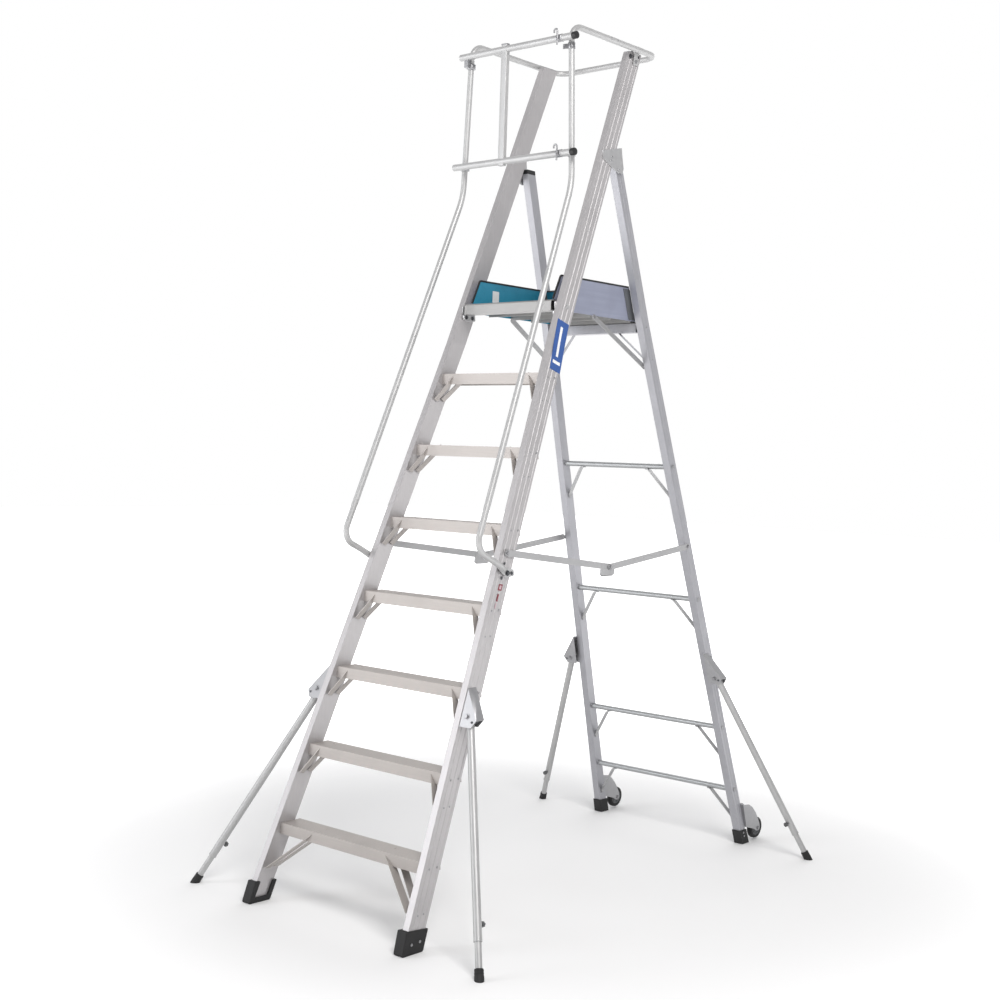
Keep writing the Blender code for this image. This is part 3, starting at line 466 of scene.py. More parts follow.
dress(["stile_front_left", "stile_front_right"], "stile", 0.0009)
dress(["stile_rear_left", "stile_rear_right", "platform_rail"], "rear_stile", 0.0009)
dress(["tread_%d" % k for k in range(1, 8)], "tread", 0.0005, 1)
dress(["deck"], "deck", 0.0004, 1)
dress(["shoe_front_left", "shoe_front_right"], "rubber", 0.0030, 3)
dress(["shoe_rear_left", "shoe_rear_right"], "rubber", 0.0020, 3)
dress(["cap_rear_left", "cap_rear_right"], "plastic", 0.0020, 3)
dress(["hinge_plate_left", "hinge_plate_right"], "bright", 0.0006)
dress(["outrigger_bracket_front_left", "outrigger_bracket_front_right", "outrigger_bracket_rear_left", "outrigger_bracket_rear_right"], "bracket", 0.0007)
dress(["wheel_fork_left", "wheel_fork_right"], "bracket", 0.0006)
dress(["platform_brace_left", "platform_brace_right", "stay_front_left", "stay_front_right", "stay_rear_left", "stay_rear_right"], "flat", 0.0005)

# ------------------------------------------------------------------ handrails
R = 0.0122
RAIL_Y, TOP_X, TOP_Z, BACK_Y, JOINT_Y = -0.1714, 0.2670, 3.4960, 0.4230, 0.1000
for side, s in SIDES:
    pts = [(tube_x(1.3220), -0.5600, 1.3220), (tube_x(1.3640), -0.6370, 1.3640), (tube_x(1.4130), -0.7480, 1.4130),
           (tube_x(2.8600), slope_y(2.8600), 2.8600), (TOP_X, RAIL_Y, TOP_Z), (TOP_X, JOINT_Y, TOP_Z)]
    line = bends(pts, [0, 0, 0.060, 0.300, 0.060, 0], 12)
    line = [D(s * p.x, p.y, p.z) for p in line]
    start = line[0]
    head = [start.lerp(line[1], f) for f in (0.0, 0.12, 0.25, 0.38, 0.52, 0.68, 0.84)]
    line = head + line[1:]
    # the lower end is flattened and pulled in against the stile
    for i, f in enumerate((1.0, 1.0, 1.0, 0.72, 0.35, 0.10, 0.0)):
        line[i] = line[i] + Vector((-s * 0.0115 * f, 0, 0))

    def flat(i, r):
        f = (1.0, 1.0, 1.0, 0.72, 0.35, 0.10, 0.0)[i] if i < 7 else 0.0
        return (r * (1 - f) + 0.0030 * f, r * (1 - f) + r * 1.28 * f)

    bm = bmesh.new()
    sweep(bm, densify(line[:7], 9) + line[7:], R, 24, ("flat", "open"), 0.0018, flat)
    piece("handrail_tube_" + side, bm, "tube", "front_frame", ("handrail_" + side,))

    bm = bmesh.new()
    xo = front_x(1.322)
    # the dark bolts at the lower end
    bolt(bm, D(s * (xo + 0.0100), -0.5600, 1.3200), (s, 0, 0), 0.0078, 0.0065, 0.0112, 1)
    bolt(bm, D(s * (front_x(1.33) + 0.0006), -0.5290, 1.3180), (s, 0, 0), 0.0070, 0.0060, 0.0100, 1)
    rivet(bm, D(s * (front_x(1.30) + 0.0006), -0.5844, 1.3019), (s, 0, 0), 0.0062, 0.0040, 1)
    rivet(bm, D(s * (front_x(1.35) + 0.0006), -0.5660, 1.3560), (s, 0, 0), 0.0056, 0.0032, 1)
    # bright lug that the flattened end is bolted to
    loop = rounded([(-0.5780, 1.3420), (-0.5140, 1.3320), (-0.5140, 1.3060), (-0.5720, 1.3020)], 0.008, 3)
    plate(bm, loop, lambda a, b, t: D(s * (front_x(b) + 0.0005 + t), a, b), 0.0030, 0)
    piece("handrail_fixings_" + side, bm, ["bright", "dark_bolt"], "front_frame", bevel=0.0004)

# back rail, its sleeves and its saddles on the stile tops
path = [(-TOP_X, JOINT_Y + 0.0004, TOP_Z), (-TOP_X, BACK_Y, TOP_Z), (TOP_X, BACK_Y, TOP_Z), (TOP_X, JOINT_Y + 0.0004, TOP_Z)]
bm = bmesh.new()
sweep(bm, [D(*p) for p in bends(path, [0, 0.060, 0.060, 0], 14)], R, 24, ("open", "open"))
piece("back_rail_tube", bm, "tube", "front_frame", ("guardrail_rear",))
bm = bmesh.new()
for side, s in SIDES:
    sweep(bm, [D(s * TOP_X, JOINT_Y - 0.034, TOP_Z), D(s * TOP_X, JOINT_Y, TOP_Z), D(s * TOP_X, JOINT_Y + 0.034, TOP_Z)], R + 0.0006, 24, ("open", "open"), 0.0011, None, 0, 0.066)
    for dy in (-0.022, 0.022):
        rivet(bm, D(s * (TOP_X + R + 0.0010), JOINT_Y + dy, TOP_Z), (s, 0, 0), 0.0040, 0.0022, 1)
    # saddle: a strap over the tube, bolted to the outer face of the stile
    x_in = front_x(3.46) + 0.0006
    for y in (0.2900,):
        arc = [(TOP_X + (R + 0.0001) * math.cos(math.radians(t)), TOP_Z + (R + 0.0001) * math.sin(math.radians(t))) for t in range(180, -61, -20)]
        pts = [D(s * px, y, pz) for px, pz in [(x_in + 0.0015, 3.4350)] + arc]
        ribbon(bm, pts, (0, 1, 0), 0.034, 0.0012, 0)
        bolt(bm, D(s * (x_in + 0.0030), y, 3.4520), (s, 0, 0), 0.0060, 0.0045, 0.0090, 1)
    top_y = front_y(3.4870)
    xc = front_x(3.487)
    # cap plate let into the cut top
    plate(bm, rounded([(0.0006, 0.0010), (FRONT_W - 0.0006, 0.0010), (FRONT_W - 0.0006, FRONT_D - 0.0010), (0.0006, FRONT_D - 0.0010)], 0.003, 3),
          lambda a, b, t: D(s * (xc - a), top_y + b, 3.4872 + t), 0.0022, 2)
    for dy in (0.0300, 0.0620):
        bolt(bm, D(s * (xc - 0.0080), top_y + dy, 3.4894), (0, 0, 1), 0.0055, 0.0040, 0.0085, 3)
    for dy, z in ((0.2560, 3.4680), (0.3040, 3.4720)):
        bolt(bm, D(s * (front_x(z) + 0.0006), dy, z), (s, 0, 0), 0.0068, 0.0055, 0.0100, 3)
piece("rail_sleeves_and_saddles", bm, ["tube", "zinc", "bracket", "dark_bolt"], "front_frame", bevel=0.0004)

# ------------------------------------------------------------------ gate
GY, GT, GL = -0.2010, 3.4400, 2.9800
axis_top, axis_low = D(-post_x(3.40), RAIL_Y, 3.40), D(-post_x(GL), RAIL_Y, GL)
lean = (axis_top - axis_low).normalized()
bm = bmesh.new()
sweep(bm, densify([D(-0.3030, GY, GT), D(0.3060, GY, GT)], 0.2), 0.0140, 28, ("open", "open"))
sweep(bm, densify([D(-0.3240, GY, GL), D(0.3160, GY, GL)], 0.2), 0.0140, 28, ("open", "open"))
for x_end, z in ((0.3060, GT), (0.3160, GL)):
    lathe(bm, D(x_end - 0.006, GY, z), (1, 0, 0), [(0.0146, 0.0), (0.0150, 0.001), (0.0150, 0.018), (0.0142, 0.0205), (0.0100, 0.0210), (0.0, 0.0210)], 28, 1)
# post with its caps
loop = rounded([(-0.0700, GY - 0.0105), (-0.0400, GY - 0.0105), (-0.0400, GY + 0.0105), (-0.0700, GY + 0.0105)], 0.003, 3)
plate(bm, loop, lambda a, b, t: D(a, b, GL - 0.0180 + t), GT + 0.0160 - GL + 0.0180, 0)
loop = rounded([(-0.0706, GY - 0.0109), (-0.0394, GY - 0.0109), (-0.0394, GY + 0.0109), (-0.0706, GY + 0.0109)], 0.004, 3)
plate(bm, loop, lambda a, b, t: D(a, b, GT + 0.0160 + t), 0.0055, 2)
# hinge eyes round the left-hand tube, with their webs
for c, tall in ((axis_top + lean * 0.004, 0.020), (axis_low, 0.024)):
    lathe(bm, c - lean * tall / 2, lean, [(0.0150, 0.0), (0.0190, 0.0), (0.0196, 0.001), (0.0196, tall - 0.001), (0.0190, tall), (0.0150, tall)], 28, 2)
box(bm, (axis_top.x - 0.010, GY + SHIFT - 0.004, 3.3960), (axis_top.x + 0.010, GY + SHIFT + 0.0125, GT - 0.006), 2)
# latch blocks near the right-hand tube
for x, z in ((0.2350, GT), (0.2520, GL)):
    lathe(bm, D(x, GY, z), (1, 0, 0), [(0.0142, -0.013), (0.0156, -0.012), (0.0156, 0.012), (0.0142, 0.013)], 28, 2)
piece("gate_bars_and_post", bm, ["tube", "plastic", "zinc"], "gate", ("gate",))
for name, z, x in (("latch_upper", GT, 0.2350), ("latch_lower", GL, 0.2520)):
    bm = bmesh.new()
    y = GY - 0.0200
    pts = bends([(x, y, z - 0.0300), (x, y, z + 0.0330), (x - 0.0160, y, z + 0.0330), (x - 0.0160, y, z + 0.0190)], [0, 0.0075, 0.0075, 0], 8)
    sweep(bm, [D(*p) for p in pts], 0.0036, 14, ("round", "round"))
    lathe(bm, D(x, y, z - 0.006), (0, 0, 1), [(0.0036, 0.0), (0.0055, 0.001), (0.0055, 0.011), (0.0036, 0.012)], 14, 0)
    piece(name + "_pin", bm, "zinc", name, (name,))
# catches on the right-hand tube
bm = bmesh.new()
for z in (GT - 0.0300, GL):
    x = post_x(z)
    lathe(bm, D(x, RAIL_Y, z - 0.012), (-0.043, 0, 1), [(0.0132, 0.0), (0.0150, 0.0), (0.0154, 0.001), (0.0154, 0.023), (0.0150, 0.024), (0.0132, 0.024)], 24, 0)
    ribbon(bm, [D(x - 0.012, RAIL_Y - 0.006, z - 0.0005), D(x - 0.020, RAIL_Y - 0.010, z - 0.0005), D(x - 0.034, RAIL_Y - 0.0125, z - 0.0005)], (0, 0, 1), 0.020, 0.0025, 0)
piece("gate_catches", bm, "zinc", "front_frame", bevel=0.0003)

# ------------------------------------------------------------------ rungs with their braces
for n, z in enumerate((0.2600, 0.5555, 1.1490, 1.7390), 1):
    y = rear_y(z) + REAR_D / 2
    half = rear_x(z) - REAR_W - 0.0006
    bm = bmesh.new()
    sweep(bm, densify([D(-half, y, z), D(half, y, z)], 0.12), 0.0120, 24, ("open", "open"))
    for s in (-1, 1):
        low = z - 0.1450
        xi = rear_x(low) - REAR_W
        pts = [D(s * (half - 0.1080), y, z - 0.0128), D(s * (half - 0.0960), y, z - 0.0135), D(s * (half - 0.088), y, z - 0.0190),
               D(s * (xi - 0.0080), rear_y(low + 0.008) + REAR_D / 2, low + 0.0100), D(s * (xi - 0.0026), rear_y(low) + REAR_D / 2, low + 0.002),
               D(s * (xi - 0.0024), rear_y(low - 0.012) + REAR_D / 2, low - 0.0120)]
        ribbon(bm, pts, (0, 1, 0), 0.0200, 0.0052, 1)
        rivet(bm, D(s * (half - 0.1010), y, z - 0.0145), (0, 0, -1), 0.0040, 0.002, 2)
        rivet(bm, D(s * (xi - 0.0036), rear_y(low - 0.006) + REAR_D / 2, low - 0.0060), (-s, 0, 0), 0.0040, 0.002, 2)
    piece("rung_tube_%d" % n, bm, ["rung", "flat", "zinc"], "rear_frame", ("rung_%d" % n,), bevel=0.0003)

# ------------------------------------------------------------------ toe boards
TI, TO, TT = 0.2190, 0.2216, 2.5080
SIDE = [(-0.1760, 2.4020), (-0.1480, 2.4020), (-0.1480, 2.3620), (0.3885, 2.3620), (0.3370, TT - 0.003), (-0.1300, TT - 0.003)]
for side, s in SIDES:
    bm = bmesh.new()
    plate(bm, rounded(SIDE, 0.004, 3), lambda a, b, t: D(s * (TI + t), a, b), TO - TI, 0)
    # teal coat on the inner face; the outer face gets the lilac-grey painted reflection on a half-metallic finish
    for f in bm.faces:
        c = f.calc_center_median()
        if abs(abs(c.x) - TI) < 0.0002:
            f.material_index = 1
    bmesh.ops.triangulate(bm, faces=[f for f in bm.faces if len(f.verts) > 4])
    piece("toe_board_panel_" + side, bm, ["outer_painted_reflection", "teal"], "platform", ("toe_board_" + side,), bevel=0.0)
    bm = bmesh.new()
    # black edging: a channel pressed over the top and front edges
    edge = bends([(0, 0.3340, TT - 0.0035), (0, -0.1290, TT - 0.0035), (0, -0.1745, 2.4060)], [0, 0.010, 0], 5)
    edge = [D(s * (TI + TO) / 2, p.y, p.z) for p in edge]
    ribbon(bm, edge, (1, 0, 0), 0.0056, 0.0075, 0)
    # dark strip up the rear edge
    w = 0.0460
    k = (0.3885 - 0.3370) / (TT - 2.3650)
    for off, th in ((TO + 0.0003, 0.0016), (TI - 0.0019, 0.0016)):
        loop = rounded([(0.3865 - w, 2.3660), (0.3865, 2.3660), (0.3865 - k * 0.130, 2.4960), (0.3865 - k * 0.130 - w, 2.4960)], 0.003, 2)
        plate(bm, loop, lambda a, b, t: D(s * (off + t), a, b), th, 1)
    piece("toe_board_edging_" + side, bm, ["plastic", "dark_grey_strip"], "platform", bevel=0.0006)
    # blank white label on the inside
    if s < 0:
        bm = bmesh.new()
        plate(bm, rounded([(-0.0470, 2.4200), (-0.0060, 2.4200), (-0.0060, 2.4700), (-0.0470, 2.4700)], 0.003, 3), lambda a, b, t: D(s * (TI - 0.0004 + t), a, b), 0.0003, 0)
        piece("toe_board_blank_label", bm, "pale", "platform")
lean_r = (0.3890 - 0.3360) / (TT - 2.3600)
bm = bmesh.new()
block(bm, lambda i, j, k: D((-TI + 0.0006, TI - 0.0006)[i], 0.3300 + (0.0, 0.0026)[j] - lean_r * ((0.0003, TT - 0.004 - 2.40)[k] - 0.05), (2.4003, TT - 0.004)[k]), 0)
box_top = [D(x, 0.3313 - lean_r * (TT - 0.004 - 2.40 - 0.05), TT - 0.0035) for x in (-TI + 0.004, TI - 0.004)]
ribbon(bm, box_top, (0, 1, 0), 0.0056, 0.0070, 1)
for x in (-0.17, -0.06, 0.06, 0.17):
    rivet(bm, D(x, 0.3285 + 0.0010, 2.432), (0, -1, 0.3), 0.0042, 0.002, 2)
piece("toe_board_rear_panel", bm, ["teal", "plastic", "zinc"], "platform", ("toe_board_rear",), bevel=0.0004)

# ------------------------------------------------------------------ outriggers
def outrigger(tag, s, body, plane_y, lean_, face_x, x0, slope, offset):
    normal = Vector((0.0, 1.0, -lean_)).normalized()

    def at(z):
        return D(s * (x0 - slope * z), plane_y(z) + offset, z)

    top, sole, end = at(0.8000), at(0.0), at(0.1100)
    run = (sole - top).normalized()
    out = normal if offset else -normal
    tube, leg, knob = "outrigger_tube_" + tag, "outrigger_leg_" + tag, "outrigger_knob_" + tag
    bm = bmesh.new()
    sweep(bm, densify([top - run * 0.018, end], 0.08), 0.0150, 24, ("open", "open"))
    lathe(bm, end - run * 0.0090, run, [(0.0150, 0.0), (0.0156, 0.0006), (0.0156, 0.0080), (0.0146, 0.0088)], 24, 0)
    pin = 0.0190 * normal.y - 0.0008
    lathe(bm, top - normal * pin, normal, [(0.0050, 0.0), (0.0055, 0.0005), (0.0055, 2 * pin - 0.0005), (0.0050, 2 * pin)], 16, 2)
    boss = at(0.1650)
    lathe(bm, boss + out * 0.0120, out, [(0.0080, 0.0), (0.0080, 0.0040), (0.0070, 0.0046)], 16, 2)
    piece(tube + "_skin", bm, ["tube", "plastic", "zinc"], "outrigger_" + tag, (tube,))
    bm = bmesh.new()
    sweep(bm, densify([at(0.3200), sole - run * 0.030], 0.06), 0.0124, 24, ("open", "flat"))
    # rubber foot, cut level with the floor
    foot = bmesh.new()
    lathe(foot, sole - run * 0.0400, run, [(0.0126, 0.0), (0.0158, 0.0010), (0.0166, 0.0030), (0.0166, 0.0090), (0.0160, 0.0100), (0.0160, 0.0120),
                                          (0.0168, 0.0130), (0.0168, 0.0190), (0.0162, 0.0200), (0.0162, 0.0220), (0.0170, 0.0230), (0.0174, 0.0320), (0.0174, 0.0700)], 28)
    bmesh.ops.bisect_plane(foot, geom=foot.verts[:] + foot.edges[:] + foot.faces[:], plane_co=(0, 0, 0.0002), plane_no=(0, 0, -1), clear_outer=True)
    bmesh.ops.holes_fill(foot, edges=[e for e in foot.edges if e.is_boundary])
    tmp = bpy.data.meshes.new("foot")
    foot.to_mesh(tmp)
    foot.free()
    n0 = len(bm.faces)
    bm.from_mesh(tmp)
    bm.faces.ensure_lookup_table()
    for f in bm.faces[n0:]:
        f.material_index = 1
    bpy.data.meshes.remove(tmp)
    piece(leg + "_skin", bm, ["tube", "rubber"], leg, (leg,))
    # star knob with a threaded shank
    bm = bmesh.new()
    hub = at(0.1650) + out * 0.0156
    lathe(bm, hub, out, [(0.0045, 0.0), (0.0045, 0.0080), (0.0060, 0.0085), (0.0070, 0.0100)], 16, 1)
    d, u, v = basis(out)
    profile = []
    n = 48
    for kk in range(n):
        t = 2 * math.pi * kk / n
        profile.append((0.0094 + 0.0012 * math.cos(6 * t), t))
    rings = []
    for h, f in ((0.0065, 0.80), (0.0078, 0.97), (0.0100, 1.0), (0.0165, 1.0), (0.0190, 0.94), (0.0202, 0.75), (0.0206, 0.40)):
        rings.append([bm.verts.new(hub + d * h + (u * math.cos(t) + v * math.sin(t)) * rr * f) for rr, t in profile])
    for r0, r1 in zip(rings, rings[1:]):
        for kk in range(n):
            bm.faces.new((r0[kk], r0[(kk + 1) % n], r1[(kk + 1) % n], r1[kk]))
    bm.faces.new(rings[0])
    bm.faces.new(rings[-1])
    piece(knob + "_star", bm, ["grey_plastic", "zinc"], knob, (knob,))
    # bolt heads through the hood's cheeks, rivets on its flange
    bm = bmesh.new()
    for sg in (-1, 1):
        bolt(bm, top + normal * sg * (0.0220 * normal.y + 0.0002), normal * sg, 0.0082, 0.0058, 0.0120, 1)
    return bm


for side, s in SIDES:
    for end_, body, py, ln, fx_, x0, sl, off in (("front_", "front_frame", front_y, 0.3991, front_x, 0.7736, 0.4564, 0.025),
                                                ("rear_", "rear_frame", rear_y, -0.3096, rear_x, 0.7720, 0.4495, 0.0)):
        bm = outrigger(end_ + side, s, body, py, ln, fx_, x0, sl, off)
        # riveted ear of the hood on the stile's outer face
        for dz in (0.885, 0.785):
            z = dz
            for dy in (0.032,) if end_ == "front_" else (0.036,):
                rivet(bm, D(s * (fx_(z) + 0.0006), py(z) + off + dy, z), (s, 0, 0), 0.0050, 0.0026, 0)
        # stop bolt at the hood's outer lip
        tip = D(s * (fx_(0.790) + 0.0570), py(0.790) + off, 0.7900)
        lathe(bm, tip + Vector((0, -0.0235, 0)), (0, 1, 0), [(0.0040, 0.0), (0.0055, 0.001), (0.0055, 0.0460), (0.0040, 0.0470)], 12, 0)
        piece("hood_fixings_" + end_ + side, bm, ["dark_bolt", "zinc"], body)

# ------------------------------------------------------------------ wheels
WX, WY, WZ, WR = 0.4100, 1.2220, 0.0560, 0.0500
for side, s in SIDES:
    bm = bmesh.new()
    c = D(s * WX, WY, WZ)
    tyre = [(0.0345, -0.0120), (0.0400, -0.0128), (0.0450, -0.0122), (0.0480, -0.0100), (0.0494, -0.0060), (0.0498, 0.0), (0.0494, 0.0060), (0.0480, 0.0100),
            (0.0450, 0.0122), (0.0400, 0.0128), (0.0345, 0.0120), (0.0345, -0.0120)]
    hub = [(0.0064, -0.0148), (0.0120, -0.0148), (0.0136, -0.0138), (0.0142, -0.0075), (0.0180, -0.0052), (0.0300, -0.0052), (0.0318, -0.0100), (0.0343, -0.0112),
           (0.0343, 0.0112), (0.0318, 0.0100), (0.0300, 0.0052), (0.0180, 0.0052), (0.0142, 0.0075), (0.0136, 0.0138), (0.0120, 0.0148), (0.0064, 0.0148), (0.0064, -0.0148)]
    for profile, mat in ((tyre, 0), (hub, 1)):
        n = 56
        rings = [[bm.verts.new(c + Vector((h, rr * math.cos(2 * math.pi * k / n), rr * math.sin(2 * math.pi * k / n)))) for k in range(n)] for rr, h in profile[:-1]]
        for r0, r1 in zip(rings, rings[1:] + rings[:1]):
            for k in range(n):
                bm.faces.new((r0[k], r0[(k + 1) % n], r1[(k + 1) % n], r1[k])).material_index = mat
    # spokes on the web
    for k in range(6):
        t = 2 * math.pi * k / 6
        for sg in (-1, 1):
            a = c + Vector((sg * 0.0062, 0.0130 * math.cos(t), 0.0130 * math.sin(t)))
            b = c + Vector((sg * 0.0062, 0.0312 * math.cos(t), 0.0312 * math.sin(t)))
            ribbon(bm, [a, b], (0, -math.sin(t), math.cos(t)), 0.0040, 0.0040, 1)
    piece("castor_wheel_" + side, bm, ["rubber", "hub"], "wheel_" + side, ("wheel_" + side,), bevel=0.0003)
    bm = bmesh.new()
    for sg in (-1, 1):
        bolt(bm, D(s * WX + sg * 0.0203, WY, WZ), (sg, 0, 0), 0.0075, 0.0040, 0.0100, 0)
    piece("axle_nuts_" + side, bm, "zinc", "rear_frame")

# ------------------------------------------------------------------ rivets and bolts
bm = bmesh.new()
for side, s in SIDES:
    # treads: two rivets through the outer face of each stile
    for k in range(1, 8):
        z = 0.30 * k - 0.020
        for dy in (0.0310, 0.0720):
            rivet(bm, D(s * (front_x(z) - 0.0001), front_y(z) + dy, z), (s, 0, 0), 0.0042, 0.0018)
        if k == 1:
            low = 0.128
        else:
            low = 0.30 * k - 0.114
        rivet(bm, D(s * (front_x(low) - 0.0001), front_y(low) + 0.0300, low), (s, 0, 0), 0.0038, 0.0016)
        rivet(bm, D(s * (front_x(low) - 0.0001), front_y(low) + 0.0590, low), (s, 0, 0), 0.0038, 0.0016)
    for y, z in ((-1.104, 0.036), (-1.062, 0.039)):
        rivet(bm, D(s * (0.4400 - 0.0654 * z), y, z), (s, 0, 0), 0.0055, 0.0026)
    for y, z in ((0.129, 3.021), (0.123, 3.004), (0.174, 2.975)):
        rivet(bm, D(s * (front_x(z) + 0.0033), y, z), (s, 0, 0), 0.0055, 0.0028)
    # stay pivot on the front stile
    bolt(bm, D(s * 0.3506, -0.5550, 1.3960), (s, 0, 0), 0.0065, 0.0045, 0.0100)
piece("front_frame_fasteners", bm, "zinc", "front_frame")
bm = bmesh.new()
for side, s in SIDES:
    xi = lambda z: front_x(z) - FRONT_W - 0.0006
    loop = rounded([(-0.2000, 2.3920), (-0.1300, 2.3920), (-0.1270, 2.3400), (-0.1500, 2.3330), (-0.1960, 2.3380)], 0.007, 3)
    plate(bm, loop, lambda a, b, t: D(s * (xi(b) - t), a, b), 0.0030, 0)
    loop = rounded([(-0.2000, 2.3540), (-0.1300, 2.3540), (-0.1270, 2.3330), (-0.1500, 2.3290), (-0.1960, 2.3330)], 0.005, 2)
    plate(bm, loop, lambda a, b, t: D(s * (xi(b) - 0.0030 - t), a, b), 0.0090, 0)
    bolt(bm, D(s * (xi(2.3440) - 0.0120), -0.1460, 2.3440), (-s, 0, 0), 0.0060, 0.0040, 0.0088, 1)
    bolt(bm, D(s * (xi(2.3440) - 0.0120), -0.1840, 2.3450), (-s, 0, 0), 0.0060, 0.0040, 0.0088, 1)
    bolt(bm, D(s * (front_x(2.372) + 0.0002), -0.1600, 2.3720), (s, 0, 0), 0.0070, 0.0050, 0.0105, 0)
piece("platform_pivot_brackets", bm, ["bright", "dark_bolt"], "front_frame", bevel=0.0004)
bm = bmesh.new()
for side, s in SIDES:
    for z in (0.2600, 0.5555, 1.1490, 1.7390):
        lathe(bm, D(s * (rear_x(z) - 0.0002), rear_y(z) + REAR_D / 2, z), (s, 0, 0), [(0.0110, 0.0), (0.0110, 0.0012), (0.0085, 0.0016), (0.0080, 0.0004), (0.0, 0.0004)], 20)
    rivet(bm, D(s * (rear_x(2.335) - 0.0001), rear_y(2.335) + 0.025, 2.335), (s, 0, 0), 0.0055, 0.0026)
    rivet(bm, D(s * (rear_x(2.20) - 0.0001), rear_y(2.20) + 0.025, 2.20), (s, 0, 0), 0.0045, 0.0022)
    for y, z in ((1.110, 0.036), (1.096, 0.052)):
        rivet(bm, D(s * (rear_x(z) + 0.0044), rear_y(z) + 0.025, z), (s, 0, 0), 0.0050, 0.0022)
piece("rear_frame_fasteners", bm, "zinc", "rear_frame")
for side, s in SIDES:
    bm = bmesh.new()
    bolt(bm, D(s * 0.3562, 0.6600, 1.3900), (s, 0, 0), 0.0065, 0.0045, 0.0100)
    piece("stay_rear_bolt_" + side, bm, "zinc", "rear_frame")
    bm = bmesh.new()
    bolt(bm, D(s * 0.3562, 0.0950, 1.3200), (s, 0, 0), 0.0070, 0.0050, 0.0105)
    piece("stay_middle_bolt_" + side, bm, "zinc", "stay_rear_" + side)
    bm = bmesh.new()
    # the clip's lower edge, turned out as far as the rear link leaves room when it folds
    ribbon(bm, [D(s * 0.3462, 0.0820, 1.2865), D(s * 0.3466, 0.0820, 1.2840), D(s * 0.3480, 0.0820, 1.2832), D(s * 0.3504, 0.0820, 1.2832)],
           (0, 1, 0), 0.078, 0.0014, 0)
    piece("stay_clip_lip_" + side, bm, ["flat"], "stay_front_" + side, bevel=0.0003)
    bm = bmesh.new()
    bolt(bm, D(s * 0.2264, 0.0950, 2.3560), (s, 0, 0), 0.0060, 0.0042, 0.0090)
    piece("brace_bolt_" + side, bm, "zinc", "platform_brace_" + side)

# ------------------------------------------------------------------ labels, blank
bm = bmesh.new()
quad = [(-0.2180, 2.3210), (-0.1470, 2.2990), (-0.2090, 2.0980), (-0.2720, 2.1180)]


def on_stile(y, z, t):
    return D(front_x(z) + 0.0002 + t, y, z)


def patch(bm, u0, u1, v0, v1, t, mat):
    """Part of the label's face, u along it and v across it, both 0 to 1."""
    top_a, top_b, low_b, low_a = [Vector(q) for q in quad]
    def pt(u, v):
        a = top_a.lerp(low_a, u)
        b = top_b.lerp(low_b, u)
        return a.lerp(b, v)
    n = 6
    loop = [pt(u0 + (u1 - u0) * i / n, v0) for i in range(n + 1)] + [pt(u1 + (u0 - u1) * i / n, v1) for i in range(n + 1)]
    plate(bm, [tuple(p) for p in loop], lambda a, b, k: on_stile(a, b, t + k), 0.00025, mat)


patch(bm, 0.0, 1.0, 0.0, 1.0, 0.0, 0)
patch(bm, 0.12, 0.72, 0.36, 0.56, 0.00030, 1)
patch(bm, 0.80, 0.86, 0.16, 0.84, 0.00030, 1)
piece("blank_blue_label", bm, ["blue", "pale"], "front_frame")
bm = bmesh.new()
for y0, y1, z0, z1, m in ((-0.6080, -0.5860, 1.2560, 1.2800, 1), (-0.6020, -0.5920, 1.2610, 1.2750, 0), (-0.6020, -0.5950, 1.2160, 1.2440, 1), (-0.6020, -0.5970, 1.1900, 1.2100, 0)):
    skew = 0.3991
    loop = [(y0 + skew * (z1 - 1.255), z1), (y1 + skew * (z1 - 1.255), z1 - 0.003), (y1 + skew * (z0 - 1.255), z0 - 0.003), (y0 + skew * (z0 - 1.255), z0)]
    plate(bm, rounded(loop, 0.002, 2), lambda a, b, t: D(front_x(b) + 0.0002 + (0.0003 if m == 0 else 0.0) + t, a, b), 0.0003, m)
piece("blank_notice_label", bm, ["rose", "red"], "front_frame")

# ------------------------------------------------------------------ floor, light, camera
bm = bmesh.new()
bmesh.ops.create_grid(bm, x_segments=1, y_segments=1, size=30.0)
mesh = bpy.data.meshes.new("floor")
bm.to_mesh(mesh)
bm.free()
fm, ft, fp = nodes_of("pale_floor")
fp.inputs["Base Color"].default_value = (0.86, 0.86, 0.86, 1)
fp.inputs["Roughness"].default_value = 0.85
fco = ft.nodes.new("ShaderNodeTexCoord")
far = ft.nodes.new("ShaderNodeVectorMath")
far.operation = "LENGTH"
ft.links.new(fco.outputs["Object"], far.inputs[0])
fade = ft.nodes.new("ShaderNodeMapRange")
fade.interpolation_type = "SMOOTHSTEP"
fade.inputs["From Min"].default_value = 1.2
fade.inputs["From Max"].default_value = 4.5
ft.links.new(far.outputs["Value"], fade.inputs["Value"])
fp.inputs["Emission Color"].default_value = (1, 1, 1, 1)
ft.links.new(fade.outputs["Result"], fp.inputs["Emission Strength"])
mesh.materials.append(fm)
floor = bpy.data.objects.new("floor", mesh)
bpy.context.scene.collection.objects.link(floor)

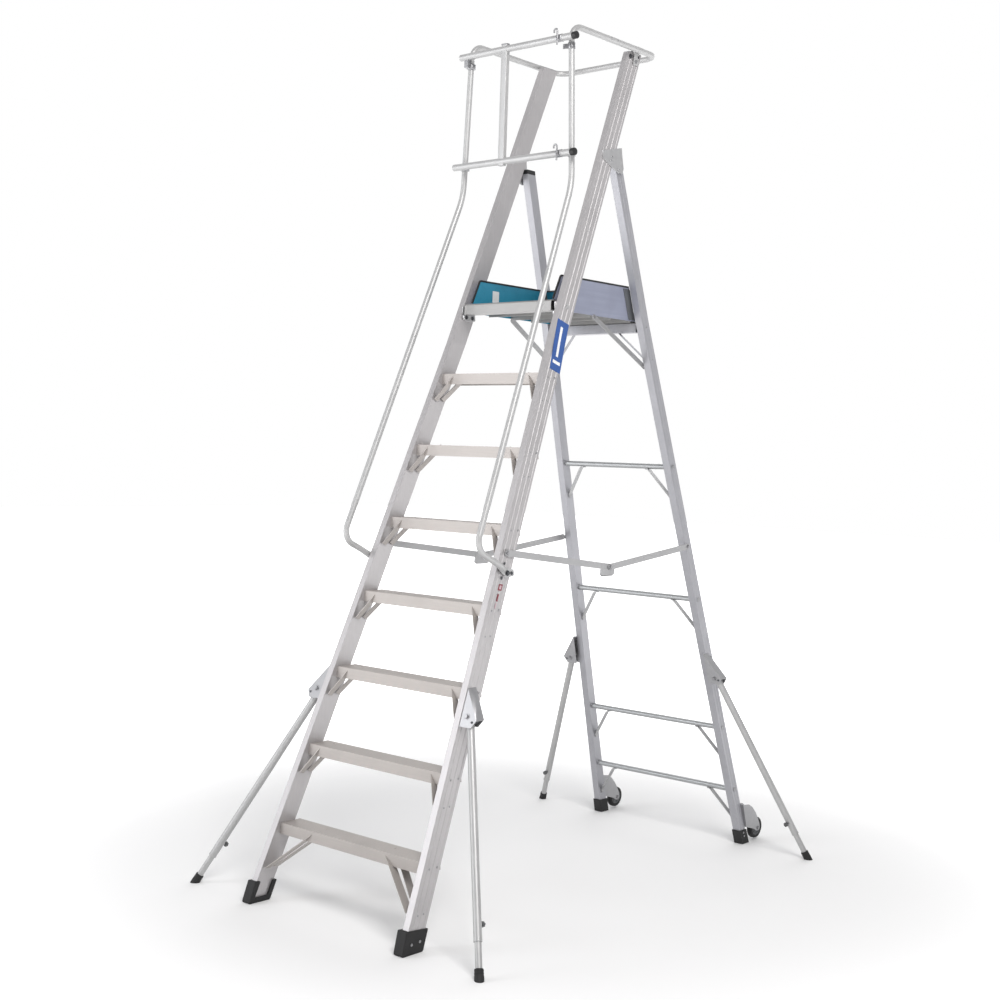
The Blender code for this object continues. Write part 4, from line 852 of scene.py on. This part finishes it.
world = bpy.data.worlds.new("studio")
bpy.context.scene.world = world
world.use_nodes = True
wt = world.node_tree
bg = wt.nodes["Background"]
bg.inputs["Strength"].default_value = 1.0
co = wt.nodes.new("ShaderNodeTexCoord")
dot = wt.nodes.new("ShaderNodeVectorMath")
dot.operation = "DOT_PRODUCT"
dot.inputs[1].default_value = (0.657, -0.754, 0.0)
wt.links.new(co.outputs["Generated"], dot.inputs[0])
room = wt.nodes.new("ShaderNodeValToRGB")
room.color_ramp.interpolation = "EASE"
span = wt.nodes.new("ShaderNodeMapRange")
span.inputs["From Min"].default_value = -1.0
span.inputs["From Max"].default_value = 1.0
wt.links.new(dot.outputs["Value"], span.inputs["Value"])
wt.links.new(span.outputs["Result"], room.inputs["Fac"])
room.color_ramp.elements[0].position = 0.10
room.color_ramp.elements[0].color = (1.0, 1.0, 1.0, 1)
room.color_ramp.elements[1].position = 0.80
room.color_ramp.elements[1].color = (0.42, 0.42, 0.43, 1)
mid = room.color_ramp.elements.new(0.42)
mid.color = (0.46, 0.46, 0.47, 1)
wt.links.new(room.outputs["Color"], bg.inputs["Color"])


def area(name, at, target, size, power, colour=(1, 1, 1)):
    lamp = bpy.data.lights.new(name, "AREA")
    lamp.shape = "RECTANGLE"
    lamp.size, lamp.size_y = size
    lamp.energy = power
    lamp.color = colour
    o = bpy.data.objects.new(name, lamp)
    bpy.context.scene.collection.objects.link(o)
    o.location = at
    o.rotation_euler = (Vector(target) - Vector(at)).to_track_quat("-Z", "Y").to_euler()
    return o


area("key", (4.5, -3.0, 6.5), (0, 0, 1.6), (3.0, 3.0), 330, (1.0, 0.985, 0.97))
area("fill", (-4.0, -6.5, 3.0), (0, 0, 1.4), (3.0, 4.0), 150, (0.97, 0.98, 1.0))
area("back", (-2.0, 6.0, 5.0), (0, 0, 1.8), (5.0, 3.0), 90)

camera = bpy.data.cameras.new("camera")
camera.lens = 53.29
camera.sensor_width = 36.0
camera.sensor_fit = "HORIZONTAL"
camera.clip_end = 100.0
cam = bpy.data.objects.new("camera", camera)
bpy.context.scene.collection.objects.link(cam)
yaw, pitch, roll = math.radians(41.068), math.radians(-1.772), math.radians(1.874)
back = Vector((math.sin(yaw) * math.cos(pitch), -math.cos(yaw) * math.cos(pitch), -math.sin(pitch)))
right0 = (-back).cross(Vector((0, 0, 1))).normalized()
up0 = right0.cross(-back)
right = right0 * math.cos(roll) + up0 * math.sin(roll)
up = -right0 * math.sin(roll) + up0 * math.cos(roll)
cam.matrix_world = Matrix(((right.x, up.x, back.x, 4.020), (right.y, up.y, back.y, -4.820 + SHIFT),
                           (right.z, up.z, back.z, 1.771), (0, 0, 0, 1)))
bpy.context.scene.camera = cam
bpy.context.scene.view_settings.view_transform = "Standard"

bpy.context.view_layer.update()
